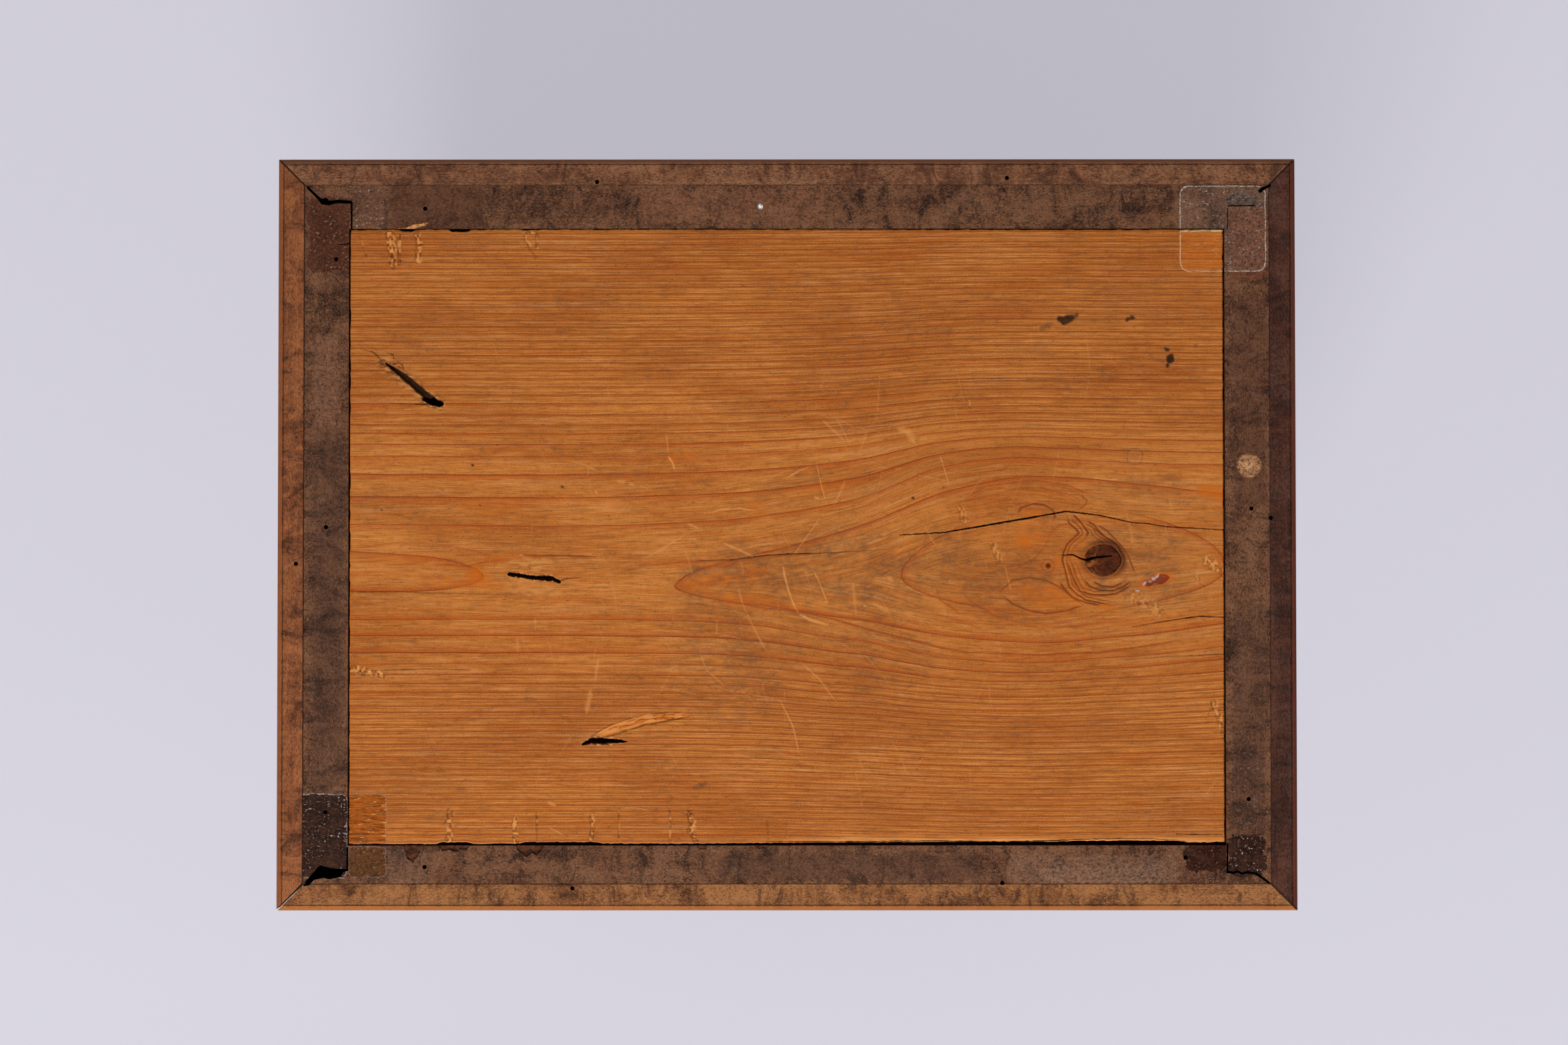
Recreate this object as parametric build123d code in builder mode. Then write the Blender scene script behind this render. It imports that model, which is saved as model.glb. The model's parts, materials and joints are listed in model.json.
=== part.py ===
import math
import os

from build123d import *

# A lidded walnut box for papers and keepsakes, standing on its base.
# Front is -Y, +Z is up, and the origin is the middle of the underside.
# Lengths are millimetres.

# Driving sizes, over the base moulding and the closed lid
overall_length = 305.0
overall_depth = 225.0
overall_height = 132.0

# Boards
front_wall = 11.4
back_wall = 13.0
end_wall = 13.3
corner_lap = 4.0
panel_thickness = 9.5
panel_end_gap = 0.7
panel_front_gap = 0.9
lid_top_thickness = 8.0
rim_height = 96.0
rim_gap = 0.3

# Moulding round the base, and the same one upside down round the lid
moulding_thickness = 8.0
moulding_arris = 1.6
moulding_flat = 9.5
moulding_quirk = 0.9
moulding_cove = 5.3
moulding_neck = 2.4

# Butt hinges, let in to the back of the box
hinge_spread = 168.0
hinge_length = 38.0
hinge_setback = 3.0
leaf_thickness = 1.5
leaf_width = 8.6
knuckle_radius = 2.7
knuckle_gap = 0.2
knuckle_count = 5
hinge_pin_radius = 1.2
hinge_pin_play = 0.05
hinge_relief = 0.3
hinge_screw_pitch = 13.0
back_bevel_angle = 50.0

# Brass screws, with countersunk slotted heads
screw_head_radius = 2.0
screw_shank_radius = 1.1
screw_sink_angle = 82.0
screw_length = 9.0
screw_slot_width = 0.6
screw_slot_depth = 0.5

# Box lock, let in to the front board
lock_plate_length = 52.0
lock_plate_depth = 9.0
lock_metal = 1.6
lock_back_length = 46.0
lock_back_drop = 29.0
lock_box_length = 38.0
lock_box_depth = 6.0
lock_box_drop = 25.0
lock_box_wall = 1.2
lock_box_front = 1.0
lock_screw_spread = 43.0
link_spread = 20.0
link_thickness = 2.0
link_width = 4.2
link_drop = 9.9
link_eye_width = 2.7
link_eye_height = 3.6
link_rim = 0.9
link_slot_length = 3.0
bolt_travel = 3.6
bolt_bar_low = 13.5
bolt_bar_height = 3.5
bolt_prong_height = 2.9
bolt_prong_rise = 5.1
bolt_prong_thickness = 2.2
bolt_prong_length = 3.4
bolt_arm_width = 2.4
bolt_play = 0.1
bolt_end_gap = 0.4
bolt_tip_gap = 0.6
bolt_guide_play = 0.05
bolt_guide_length = 4.0
bolt_guide_height = 3.0
bolt_notch_radius = 2.2
drill_pin_radius = 0.9

# Keyhole and its inlaid brass escutcheon
key_drop = 16.9
keyhole_radius = 2.1
keyhole_slot_width = 1.9
keyhole_slot_drop = 6.2
escutcheon_margin = 1.5
escutcheon_thickness = 1.2

# Places worked out from the sizes above
box_length = overall_length - 2 * moulding_thickness
box_depth = overall_depth - 2 * moulding_thickness
half_length = box_length / 2
half_depth = box_depth / 2
inside_length = box_length - 2 * end_wall
inside_depth = box_depth - front_wall - back_wall
front_inside_y = front_wall - half_depth
back_inside_y = half_depth - back_wall
lid_low = rim_height + rim_gap
lid_frame_top = overall_height - lid_top_thickness
axis_y = half_depth - hinge_setback
axis_z = rim_height + rim_gap / 2
leaf_edge_y = axis_y - leaf_width
leaf_screw_y = leaf_edge_y + (leaf_width - knuckle_radius) / 2
lock_box_front_y = front_inside_y - lock_metal - lock_box_depth
lock_hollow_depth = lock_box_depth - lock_box_front
lock_middle_y = lock_box_front_y + lock_box_front + lock_hollow_depth / 2
lock_plate_y = front_inside_y - lock_plate_depth / 2
key_z = rim_height - key_drop
bolt_bar_z = rim_height - bolt_bar_low

sides = {
    "front": (Vector(0, -1, 0), half_depth, half_length),
    "right": (Vector(1, 0, 0), half_length, half_depth),
    "back": (Vector(0, 1, 0), half_depth, half_length),
    "left": (Vector(-1, 0, 0), half_length, half_depth),
}
up = Vector(0, 0, 1)


def write(piece, name):
    piece.label = name
    export_step(piece, f"parts/{name}.step")


def rim_plane(height, facing_up=True):
    return Plane(origin=(0, 0, height), x_dir=(1, 0, 0), z_dir=(0, 0, 1 if facing_up else -1))


# The long boards lap over the end boards, and the lap is mitred so that no end grain shows.
def long_board(facing, low, high):
    wall = front_wall if facing < 0 else back_wall
    with BuildPart() as board:
        with BuildSketch(Plane.XY.offset(low)):
            with BuildLine():
                Polyline(
                    (0, facing * half_depth),
                    (half_length, facing * half_depth),
                    (half_length - corner_lap, facing * (half_depth - corner_lap)),
                    (half_length - end_wall, facing * (half_depth - corner_lap)),
                    (half_length - end_wall, facing * (half_depth - wall)),
                    (0, facing * (half_depth - wall)),
                )
                mirror(about=Plane.YZ)
            make_face()
        extrude(amount=high - low)
    return board


def end_board(facing, low, high):
    with BuildPart() as board:
        with BuildSketch(Plane.XY.offset(low)):
            with BuildLine():
                Polyline(
                    (facing * half_length, 0),
                    (facing * half_length, half_depth),
                    (facing * (half_length - corner_lap), half_depth - corner_lap),
                    (facing * (half_length - end_wall), half_depth - corner_lap),
                    (facing * (half_length - end_wall), 0),
                )
                mirror(about=Plane.XZ)
            make_face()
        extrude(amount=high - low)
    return board


# A cavetto over a plain band, with the outer arris rounded. It is mitred at both ends.
def moulding(side, seat_height, rises):
    out, reach, half_run = sides[side]
    lift = up if rises else -up
    seat = Plane(origin=out * reach + up * seat_height, x_dir=out, z_dir=out.cross(lift))
    cove_foot = moulding_thickness - moulding_quirk
    neck_out = cove_foot - moulding_cove
    neck_low = moulding_flat + moulding_cove
    neck_high = neck_low + moulding_neck
    with BuildPart() as strip:
        with BuildSketch(seat):
            with BuildLine():
                Polyline((0, neck_high + neck_out), (0, 0), (moulding_thickness - moulding_arris, 0))
                RadiusArc(
                    (moulding_thickness - moulding_arris, 0),
                    (moulding_thickness, moulding_arris),
                    -moulding_arris,
                )
                Polyline(
                    (moulding_thickness, moulding_arris),
                    (moulding_thickness, moulding_flat),
                    (cove_foot, moulding_flat),
                )
                RadiusArc((cove_foot, moulding_flat), (neck_out, neck_low), moulding_cove)
                Line((neck_out, neck_low), (neck_out, neck_high))
                RadiusArc((neck_out, neck_high), (0, neck_high + neck_out), -neck_out)
            make_face()
        extrude(amount=half_run + moulding_thickness, both=True)
        run = up.cross(out)
        for end in (-1, 1):
            corner = out * reach + run * (end * half_run)
            split(bisect_by=Plane(origin=corner, z_dir=run * end - out), keep=Keep.BOTTOM)
    return strip


# One screw at the origin, head face up and flush with the XY plane
def wood_screw():
    sink = (screw_head_radius - screw_shank_radius) / math.tan(math.radians(screw_sink_angle / 2))
    with BuildPart() as screw:
        with BuildSketch(Plane.XZ):
            with BuildLine():
                Polyline(
                    (0, 0),
                    (screw_head_radius, 0),
                    (screw_shank_radius, -sink),
                    (screw_shank_radius, -screw_length + 2 * screw_shank_radius),
                    (0, -screw_length),
                    close=True,
                )
            make_face()
        revolve(axis=Axis.Z)
        with BuildSketch():
            Rectangle(2 * screw_head_radius, screw_slot_width)
        extrude(amount=-screw_slot_depth, mode=Mode.SUBTRACT)
    return screw


def screw_group(spots, height, facing_up):
    screw = wood_screw()
    with BuildPart() as group:
        with Locations(rim_plane(height, facing_up)):
            with Locations(*[(x, y if facing_up else -y) for x, y in spots]):
                add(screw.part)
    return group


# Cuts in the piece being built
def cut_block(low_corner, high_corner):
    with Locations((Vector(*low_corner) + Vector(*high_corner)) / 2):
        Box(*(Vector(*high_corner) - Vector(*low_corner)), mode=Mode.SUBTRACT)


def cut_screw_holes(spots, height, facing_up):
    with Locations(rim_plane(height, facing_up)):
        with Locations(*[(x, y if facing_up else -y) for x, y in spots]):
            Hole(screw_shank_radius, depth=screw_length)


def cut_screw_sinks(spots, height, facing_up):
    with Locations(rim_plane(height, facing_up)):
        with Locations(*[(x, y if facing_up else -y) for x, y in spots]):
            CounterSinkHole(
                screw_shank_radius,
                screw_head_radius,
                depth=2 * leaf_thickness,
                counter_sink_angle=screw_sink_angle,
            )


def keyhole_outline(margin=0.0):
    with BuildSketch(Plane.XZ.offset(half_depth)) as outline:
        with Locations((0, key_z)):
            Circle(keyhole_radius)
        with Locations((0, key_z - keyhole_slot_drop / 2)):
            Rectangle(keyhole_slot_width, keyhole_slot_drop)
        if margin:
            offset(amount=margin)
    return outline.sketch


hinge_centres = (-hinge_spread / 2, hinge_spread / 2)
hinge_screw_spots = [
    (centre + step * hinge_screw_pitch, leaf_screw_y) for centre in hinge_centres for step in (-1, 0, 1)
]
lock_screw_spots = [(end * lock_screw_spread / 2, lock_plate_y) for end in (-1, 1)]
link_centres = (-link_spread / 2, link_spread / 2)


# A bevel along the back edges of the box and the lid. The two bevels meet when the lid is fully open.
def cut_back_bevel(edge_height, rises):
    drop = hinge_setback * math.tan(math.radians(back_bevel_angle))
    far = edge_height + (drop if rises else -drop)
    with BuildSketch(Plane.YZ) as bevel:
        with BuildLine():
            Polyline((axis_y, edge_height), (half_depth, edge_height), (half_depth, far), close=True)
        make_face()
    extrude(bevel.sketch, amount=half_length, both=True, mode=Mode.SUBTRACT)


def cut_hinge_seats(edge_height, rises):
    leaf_far = edge_height + (leaf_thickness if rises else -leaf_thickness)
    for centre in hinge_centres:
        cut_block(
            (centre - hinge_length / 2, leaf_edge_y, min(edge_height, leaf_far)),
            (centre + hinge_length / 2, axis_y, max(edge_height, leaf_far)),
        )
        with BuildSketch(Plane.YZ.offset(centre)) as relief:
            with Locations((axis_y, axis_z)):
                Circle(knuckle_radius + hinge_relief)
        extrude(relief.sketch, amount=hinge_length / 2, both=True, mode=Mode.SUBTRACT)
    cut_screw_holes(hinge_screw_spots, edge_height, not rises)


def front_board():
    board = long_board(-1, 0, rim_height)
    with board:
        cut_block(
            (-lock_plate_length / 2, front_inside_y - lock_plate_depth, rim_height - lock_metal),
            (lock_plate_length / 2, front_inside_y, rim_height),
        )
        cut_block(
            (-lock_back_length / 2, front_inside_y - lock_metal, rim_height - lock_back_drop),
            (lock_back_length / 2, front_inside_y, rim_height),
        )
        cut_block(
            (-lock_box_length / 2, lock_box_front_y, rim_height - lock_box_drop),
            (lock_box_length / 2, front_inside_y, rim_height),
        )
        cut_screw_holes(lock_screw_spots, rim_height, True)
        extrude(keyhole_outline(), amount=-front_wall, mode=Mode.SUBTRACT)
        extrude(keyhole_outline(escutcheon_margin), amount=-escutcheon_thickness, mode=Mode.SUBTRACT)
    return board


def back_board():
    board = long_board(1, 0, rim_height)
    with board:
        cut_back_bevel(rim_height, False)
        cut_hinge_seats(rim_height, False)
    return board


def lid_front_board():
    board = long_board(-1, lid_low, lid_frame_top)
    with board:
        cut_block(
            (-lock_plate_length / 2, front_inside_y - lock_plate_depth, lid_low),
            (lock_plate_length / 2, front_inside_y, lid_low + lock_metal),
        )
        cut_screw_holes(lock_screw_spots, lid_low, False)
    return board


def lid_back_board():
    board = long_board(1, lid_low, lid_frame_top)
    with board:
        cut_back_bevel(lid_low, True)
        cut_hinge_seats(lid_low, True)
    return board


# The end boards lose their back corner to the bevel as well.
def bevelled_end_board(facing, low, high, edge_height, rises):
    board = end_board(facing, low, high)
    with board:
        cut_back_bevel(edge_height, rises)
    return board


def bottom_panel():
    with BuildPart() as panel:
        length = inside_length - panel_end_gap
        depth = inside_depth - panel_front_gap
        with Locations((-panel_end_gap / 2, back_inside_y - depth / 2, panel_thickness / 2)):
            Box(length, depth, panel_thickness)
    return panel


def lid_top():
    with BuildPart() as top:
        with Locations((0, 0, lid_frame_top + lid_top_thickness / 2)):
            Box(box_length, box_depth, lid_top_thickness)
    return top


# One leaf of a butt hinge. Its knuckles are every other one along the barrel.
def hinge_leaf(centre, edge_height, rises, first_knuckle):
    start = centre - hinge_length / 2
    pitch = hinge_length / knuckle_count
    own = range(first_knuckle, knuckle_count, 2)
    others = range(1 - first_knuckle, knuckle_count, 2)
    leaf_middle = edge_height + (leaf_thickness if rises else -leaf_thickness) / 2
    pin_hole = hinge_pin_radius if not rises else hinge_pin_radius + hinge_pin_play
    with BuildPart() as leaf:
        with Locations((centre, axis_y - leaf_width / 2, leaf_middle)):
            Box(hinge_length, leaf_width, leaf_thickness)
        for place in others:
            with BuildSketch(Plane.YZ.offset(start + place * pitch)):
                with Locations((axis_y, axis_z)):
                    Circle(knuckle_radius + hinge_relief)
            extrude(amount=pitch, mode=Mode.SUBTRACT)
        for place in own:
            with BuildSketch(Plane.YZ.offset(start + place * pitch + knuckle_gap / 2)):
                with Locations((axis_y, axis_z)):
                    Circle(knuckle_radius)
            extrude(amount=pitch - knuckle_gap)
        with BuildSketch(Plane.YZ.offset(centre)):
            with Locations((axis_y, axis_z)):
                Circle(pin_hole)
        extrude(amount=hinge_length / 2, both=True, mode=Mode.SUBTRACT)
        spots = [(centre + step * hinge_screw_pitch, leaf_screw_y) for step in (-1, 0, 1)]
        cut_screw_sinks(spots, edge_height, not rises)
    return leaf


def hinge_pin(centre):
    with BuildPart() as pin:
        with BuildSketch(Plane.YZ.offset(centre)):
            with Locations((axis_y, axis_z)):
                Circle(hinge_pin_radius)
        extrude(amount=(hinge_length - knuckle_gap) / 2, both=True)
    return pin


# The plate on the rim, the plate on the inside and the shallow box between them
def lock_case():
    box_low = rim_height - lock_box_drop
    plate_low = rim_height - lock_metal
    hollow_front_y = lock_box_front_y + lock_box_front
    hollow_back_y = front_inside_y - lock_metal
    with BuildPart() as case:
        with Locations((0, lock_plate_y, rim_height - lock_metal / 2)):
            Box(lock_plate_length, lock_plate_depth, lock_metal)
        with Locations((0, front_inside_y - lock_metal / 2, rim_height - lock_back_drop / 2)):
            Box(lock_back_length, lock_metal, lock_back_drop)
        with Locations((0, hollow_back_y - lock_box_depth / 2, rim_height - lock_box_drop / 2)):
            Box(lock_box_length, lock_box_depth, lock_box_drop)
        cut_block(
            (-lock_box_length / 2 + lock_box_wall, hollow_front_y, box_low + lock_box_wall),
            (lock_box_length / 2 - lock_box_wall, hollow_back_y, plate_low),
        )
        for centre in link_centres:
            cut_block(
                (centre - link_slot_length / 2, hollow_front_y, plate_low),
                (centre + link_slot_length / 2, hollow_back_y, rim_height),
            )
        with BuildSketch(Plane.XZ.offset(-hollow_back_y)):
            for centre in link_centres:
                with Locations((centre, bolt_bar_z - bolt_guide_play - bolt_guide_height / 2)):
                    Rectangle(bolt_guide_length, bolt_guide_height)
        extrude(amount=lock_hollow_depth)
        extrude(keyhole_outline(), amount=-(half_depth + hollow_front_y), mode=Mode.SUBTRACT)
        with BuildSketch(Plane.XZ.offset(-hollow_back_y)):
            with Locations((0, key_z)):
                Circle(drill_pin_radius)
        extrude(amount=lock_box_depth)
        cut_screw_sinks(lock_screw_spots, rim_height, True)
    return case


# The bolt slides right, and its two prongs go through the eyes of the links on the lid.
def lock_bolt():
    prong_low = bolt_bar_z + bolt_prong_rise
    prong_middle = prong_low + bolt_prong_height / 2
    hollow_end = lock_box_length / 2 - lock_box_wall
    bar_left = -hollow_end + bolt_end_gap
    bar_right = hollow_end - bolt_travel - bolt_end_gap
    with BuildPart() as bolt:
        with BuildSketch(Plane.XZ.offset(-lock_middle_y)):
            with Locations(((bar_left + bar_right) / 2, bolt_bar_z + bolt_bar_height / 2)):
                Rectangle(bar_right - bar_left, bolt_bar_height)
            with Locations((-bolt_travel / 2, bolt_bar_z)):
                Circle(bolt_notch_radius, mode=Mode.SUBTRACT)
        extrude(amount=lock_hollow_depth / 2 - bolt_play, both=True)
        with BuildSketch(Plane.XZ.offset(-lock_middle_y)):
            for centre in link_centres:
                tip = centre - link_thickness / 2 - bolt_tip_gap
                heel = tip - bolt_prong_length
                with Locations(((tip + heel - bolt_arm_width) / 2, prong_middle)):
                    Rectangle(bolt_prong_length + bolt_arm_width, bolt_prong_height)
                arm_top = prong_low + bolt_prong_height
                with Locations((heel - bolt_arm_width / 2, (bolt_bar_z + arm_top) / 2)):
                    Rectangle(bolt_arm_width, arm_top - bolt_bar_z)
        extrude(amount=bolt_prong_thickness / 2, both=True)
    return bolt


# The plate under the lid, with two links that drop into the lock
def lid_link_plate():
    link_top = lid_low
    link_low = link_top - link_drop
    eye_middle = link_low + link_rim + link_eye_height / 2
    with BuildPart() as plate:
        with Locations((0, lock_plate_y, lid_low + lock_metal / 2)):
            Box(lock_plate_length, lock_plate_depth, lock_metal)
        for centre in link_centres:
            with BuildSketch(Plane.YZ.offset(centre)):
                with Locations((lock_middle_y, (link_low + link_top) / 2)):
                    Rectangle(link_width, link_drop)
                with Locations((lock_middle_y, eye_middle)):
                    Rectangle(link_eye_width, link_eye_height, mode=Mode.SUBTRACT)
            extrude(amount=link_thickness / 2, both=True)
        cut_screw_sinks(lock_screw_spots, lid_low, False)
    return plate


def key_escutcheon():
    with BuildPart() as escutcheon:
        extrude(keyhole_outline(escutcheon_margin), amount=-escutcheon_thickness)
        extrude(keyhole_outline(), amount=-escutcheon_thickness, mode=Mode.SUBTRACT)
    return escutcheon


os.makedirs("parts", exist_ok=True)

write(front_board().part, "front_board")
write(back_board().part, "back_board")
write(bottom_panel().part, "bottom_panel")
write(lid_front_board().part, "lid_front_board")
write(lid_back_board().part, "lid_back_board")
write(lid_top().part, "lid_top")
for name, facing in (("left", -1), ("right", 1)):
    write(bevelled_end_board(facing, 0, rim_height, rim_height, False).part, f"{name}_end_board")
    write(bevelled_end_board(facing, lid_low, lid_frame_top, lid_low, True).part, f"lid_{name}_end_board")
for side in sides:
    write(moulding(side, 0, True).part, f"base_moulding_{side}")
    write(moulding(side, overall_height, False).part, f"lid_moulding_{side}")
for name, centre in zip(("left", "right"), hinge_centres):
    write(hinge_leaf(centre, rim_height, False, 0).part, f"{name}_hinge_lower_leaf")
    write(hinge_leaf(centre, lid_low, True, 1).part, f"{name}_hinge_upper_leaf")
    write(hinge_pin(centre).part, f"{name}_hinge_pin")
write(screw_group(hinge_screw_spots, rim_height, True).part, "hinge_lower_screws")
write(screw_group(hinge_screw_spots, lid_low, False).part, "hinge_upper_screws")
write(lock_case().part, "lock_case")
write(lock_bolt().part, "lock_bolt")
write(screw_group(lock_screw_spots, rim_height, True).part, "lock_screws")
write(lid_link_plate().part, "lid_link_plate")
write(screw_group(lock_screw_spots, lid_low, False).part, "link_plate_screws")
write(key_escutcheon().part, "key_escutcheon")
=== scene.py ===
import json
import math
from types import SimpleNamespace

import bmesh
import bpy
import numpy as np
from mathutils import Matrix, Vector


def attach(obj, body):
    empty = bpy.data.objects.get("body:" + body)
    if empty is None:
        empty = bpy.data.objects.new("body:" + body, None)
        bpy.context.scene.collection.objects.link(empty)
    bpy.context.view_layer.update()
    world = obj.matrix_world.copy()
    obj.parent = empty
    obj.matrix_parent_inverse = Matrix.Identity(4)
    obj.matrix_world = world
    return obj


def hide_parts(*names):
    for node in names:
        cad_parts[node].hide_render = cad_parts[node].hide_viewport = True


# An old walnut box with a pine bottom, seen from below as it lies upturned in the photograph.
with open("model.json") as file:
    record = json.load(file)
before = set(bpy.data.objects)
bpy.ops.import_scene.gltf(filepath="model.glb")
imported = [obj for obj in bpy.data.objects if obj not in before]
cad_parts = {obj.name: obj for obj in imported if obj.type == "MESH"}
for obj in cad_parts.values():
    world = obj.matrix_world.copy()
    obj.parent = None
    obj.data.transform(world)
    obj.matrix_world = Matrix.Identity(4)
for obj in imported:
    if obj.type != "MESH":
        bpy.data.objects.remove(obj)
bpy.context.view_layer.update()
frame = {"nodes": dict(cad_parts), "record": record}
mm = 0.001
bodies = frame["record"]["behaviour"]["bodies"]
bodyOfNode = {node: body for body, nodes in bodies.items() for node in nodes}
print("frame loaded:", len(frame["nodes"]), "nodes")


# Camera, under the box and looking up at it
photo = {"width": 2353, "height": 1568}
photoCamera = {
    "place": (-0.000426, -0.02198, -1.0),
    "lean": (0.001244, 0.02532),    # how far the view leans per unit of height
    "roll": -0.000273,
    "lens": 76.78,
    "sensor": 36.0,
}
photoPixelsPerLean = photoCamera["lens"] / photoCamera["sensor"] * photo["width"]
photoPixelsPerMm = 5.015


def viewAxes():
    ahead = Vector((*photoCamera["lean"], 1.0)).normalized()
    across = ahead.cross(Vector((0, 1, 0))).normalized()
    upward = across.cross(ahead)
    turn = photoCamera["roll"]
    return (across * math.cos(turn) + upward * math.sin(turn),
            upward * math.cos(turn) - across * math.sin(turn), ahead)


viewAcross, viewUpward, viewAhead = viewAxes()


# From a point of the underside, in mm, to its place in the photograph, and back
def toPhoto(x, y, z=0.0):
    offset = [a * mm - b for a, b in zip((x, y, z), photoCamera["place"])]
    far = sum(a * b for a, b in zip(offset, viewAhead))
    u = photo["width"] / 2 + photoPixelsPerLean * sum(a * b for a, b in zip(offset, viewAcross)) / far
    v = photo["height"] / 2 - photoPixelsPerLean * sum(a * b for a, b in zip(offset, viewUpward)) / far
    return u, v


def toBox(u, v, z=0.0):
    right = (u - photo["width"] / 2) / photoPixelsPerLean
    rise = (photo["height"] / 2 - v) / photoPixelsPerLean
    ray = viewAhead + viewAcross * right + viewUpward * rise
    run = (z * mm - photoCamera["place"][2]) / ray.z
    return (photoCamera["place"][0] + ray.x * run) / mm, (photoCamera["place"][1] + ray.y * run) / mm


cameraData = bpy.data.cameras.new("photoCamera")
cameraData.lens = photoCamera["lens"]
cameraData.sensor_width = photoCamera["sensor"]
cameraData.clip_start = 0.01
camera = bpy.data.objects.new("photoCamera", cameraData)
bpy.context.scene.collection.objects.link(camera)
cameraTurn = Matrix((viewAcross, viewUpward, -viewAhead)).transposed().to_4x4()
camera.matrix_world = Matrix.Translation(photoCamera["place"]) @ cameraTurn
bpy.context.scene.camera = camera
bpy.context.scene.view_settings.view_transform = "Standard"
print("camera placed")


# Small helpers for node materials
def fromPaint(red, green, blue):
    shares = [c / 255 for c in (red, green, blue)]
    return tuple(c / 12.92 if c <= 0.04045 else ((c + 0.055) / 1.055) ** 2.4 for c in shares) + (1.0,)


# Each input takes a link from another node's output or a plain value
def fill(tree, made, inputs):
    for key, value in inputs.items():
        if isinstance(value, bpy.types.NodeSocket):
            tree.links.new(value, made.inputs[key])
        else:
            made.inputs[key].default_value = value


def put(tree, kind, inputs=None, **settings):
    made = tree.nodes.new(kind)
    for name, value in settings.items():
        setattr(made, name, value)
    fill(tree, made, inputs or {})
    return made


def work(tree, operation, first, second=0.0, third=0.0, clamp=False):
    inputs = {0: first, 1: second, 2: third}
    return put(tree, "ShaderNodeMath", inputs, operation=operation, use_clamp=clamp).outputs[0]


def times(tree, first, second):
    return work(tree, "MULTIPLY", first, second)


def plus(tree, first, second):
    return work(tree, "ADD", first, second)


def minus(tree, first, second, clamp=False):
    return work(tree, "SUBTRACT", first, second, clamp=clamp)


def larger(tree, first, second, clamp=False):
    return work(tree, "MAXIMUM", first, second, clamp=clamp)


def vectorWork(tree, operation, first, *second):
    made = put(tree, "ShaderNodeVectorMath", dict(enumerate((first, *second))), operation=operation)
    return made.outputs["Value" if operation == "LENGTH" else "Vector"]


def apart(tree, place):
    return put(tree, "ShaderNodeSeparateXYZ", {0: place}).outputs


def mixed(tree, share, first, second):
    made = put(tree, "ShaderNodeMix", {0: share, 6: first, 7: second}, data_type="RGBA", blend_type="MIX")
    return made.outputs[2]


def mixedValue(tree, share, first, second):
    return put(tree, "ShaderNodeMix", {0: share, 2: first, 3: second}).outputs[0]


def between(tree, value, low, high, toLow=0.0, toHigh=1.0):
    made = put(tree, "ShaderNodeMapRange", {0: value, 1: low, 2: high, 3: toLow, 4: toHigh},
               interpolation_type="SMOOTHSTEP")
    return made.outputs[0]


def mottle(tree, place, stretch, detail=3.0, roughness=0.55, shift=(0, 0, 0), distortion=0.0):
    moved = put(tree, "ShaderNodeMapping", {"Vector": place, "Scale": stretch, "Location": shift})
    made = put(tree, "ShaderNodeTexNoise", {"Vector": moved.outputs[0], "Scale": 1.0, "Detail": detail,
                                            "Roughness": roughness, "Distortion": distortion})
    return made.outputs["Fac"]


# Tones laid one over another, each where its noise lies between two levels: noise, from, to, share, tone
def layered(tree, colour, layers):
    for noise, low, high, share, tone in layers:
        colour = mixed(tree, times(tree, between(tree, noise, low, high), share), colour, fromPaint(*tone))
    return colour


def relief(tree, height, strength, deep):
    made = put(tree, "ShaderNodeBump", {"Strength": strength, "Distance": deep, "Height": height})
    return made.outputs[0]


def newMaterial(name):
    material = bpy.data.materials.new(name)
    material.use_nodes = True
    tree = material.node_tree
    tree.nodes.clear()
    output = put(tree, "ShaderNodeOutputMaterial")
    shader = put(tree, "ShaderNodeBsdfPrincipled")
    tree.links.new(shader.outputs[0], output.inputs[0])
    return material, tree, shader, output


def objectPlace(tree):
    return put(tree, "ShaderNodeTexCoord").outputs["Object"]


# Helpers for meshes
def newPiece(name, mesh, material, body="case", replaces=()):
    piece = bpy.data.objects.new(name, mesh)
    bpy.context.scene.collection.objects.link(piece)
    if not mesh.materials:
        mesh.materials.append(material)
    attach(piece, body)
    if replaces:
        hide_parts(*replaces)
    return piece


def meshFrom(name, points, faces):
    mesh = bpy.data.meshes.new(name)
    mesh.from_pydata([tuple(p) for p in points], [], [tuple(f) for f in faces])
    mesh.update()
    return mesh


def facingOut(mesh):
    shape = bmesh.new()
    shape.from_mesh(mesh)
    bmesh.ops.recalc_face_normals(shape, faces=shape.faces)
    shape.to_mesh(mesh)
    shape.free()
    return mesh


def shadeByAngle(mesh, degrees=32):
    mesh.polygons.foreach_set("use_smooth", [True] * len(mesh.polygons))
    mesh.set_sharp_from_angle(angle=math.radians(degrees))


# Even noise over the photograph's pixels, the same on each run
noiseTable = np.random.RandomState(7).rand(256, 256)


def ripple(u, v, size, seed=0):
    x, y = np.asarray(u) / size + seed * 17.3, np.asarray(v) / size + seed * 5.7
    column, row = np.floor(x).astype(int), np.floor(y).astype(int)
    fx, fy = x - column, y - row
    fx, fy = fx * fx * (3 - 2 * fx), fy * fy * (3 - 2 * fy)
    corner = [[noiseTable[(row + j) % 256, (column + i) % 256] for i in (0, 1)] for j in (0, 1)]
    return ((corner[0][0] * (1 - fx) + corner[0][1] * fx) * (1 - fy)
            + (corner[1][0] * (1 - fx) + corner[1][1] * fx) * fy)


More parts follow.
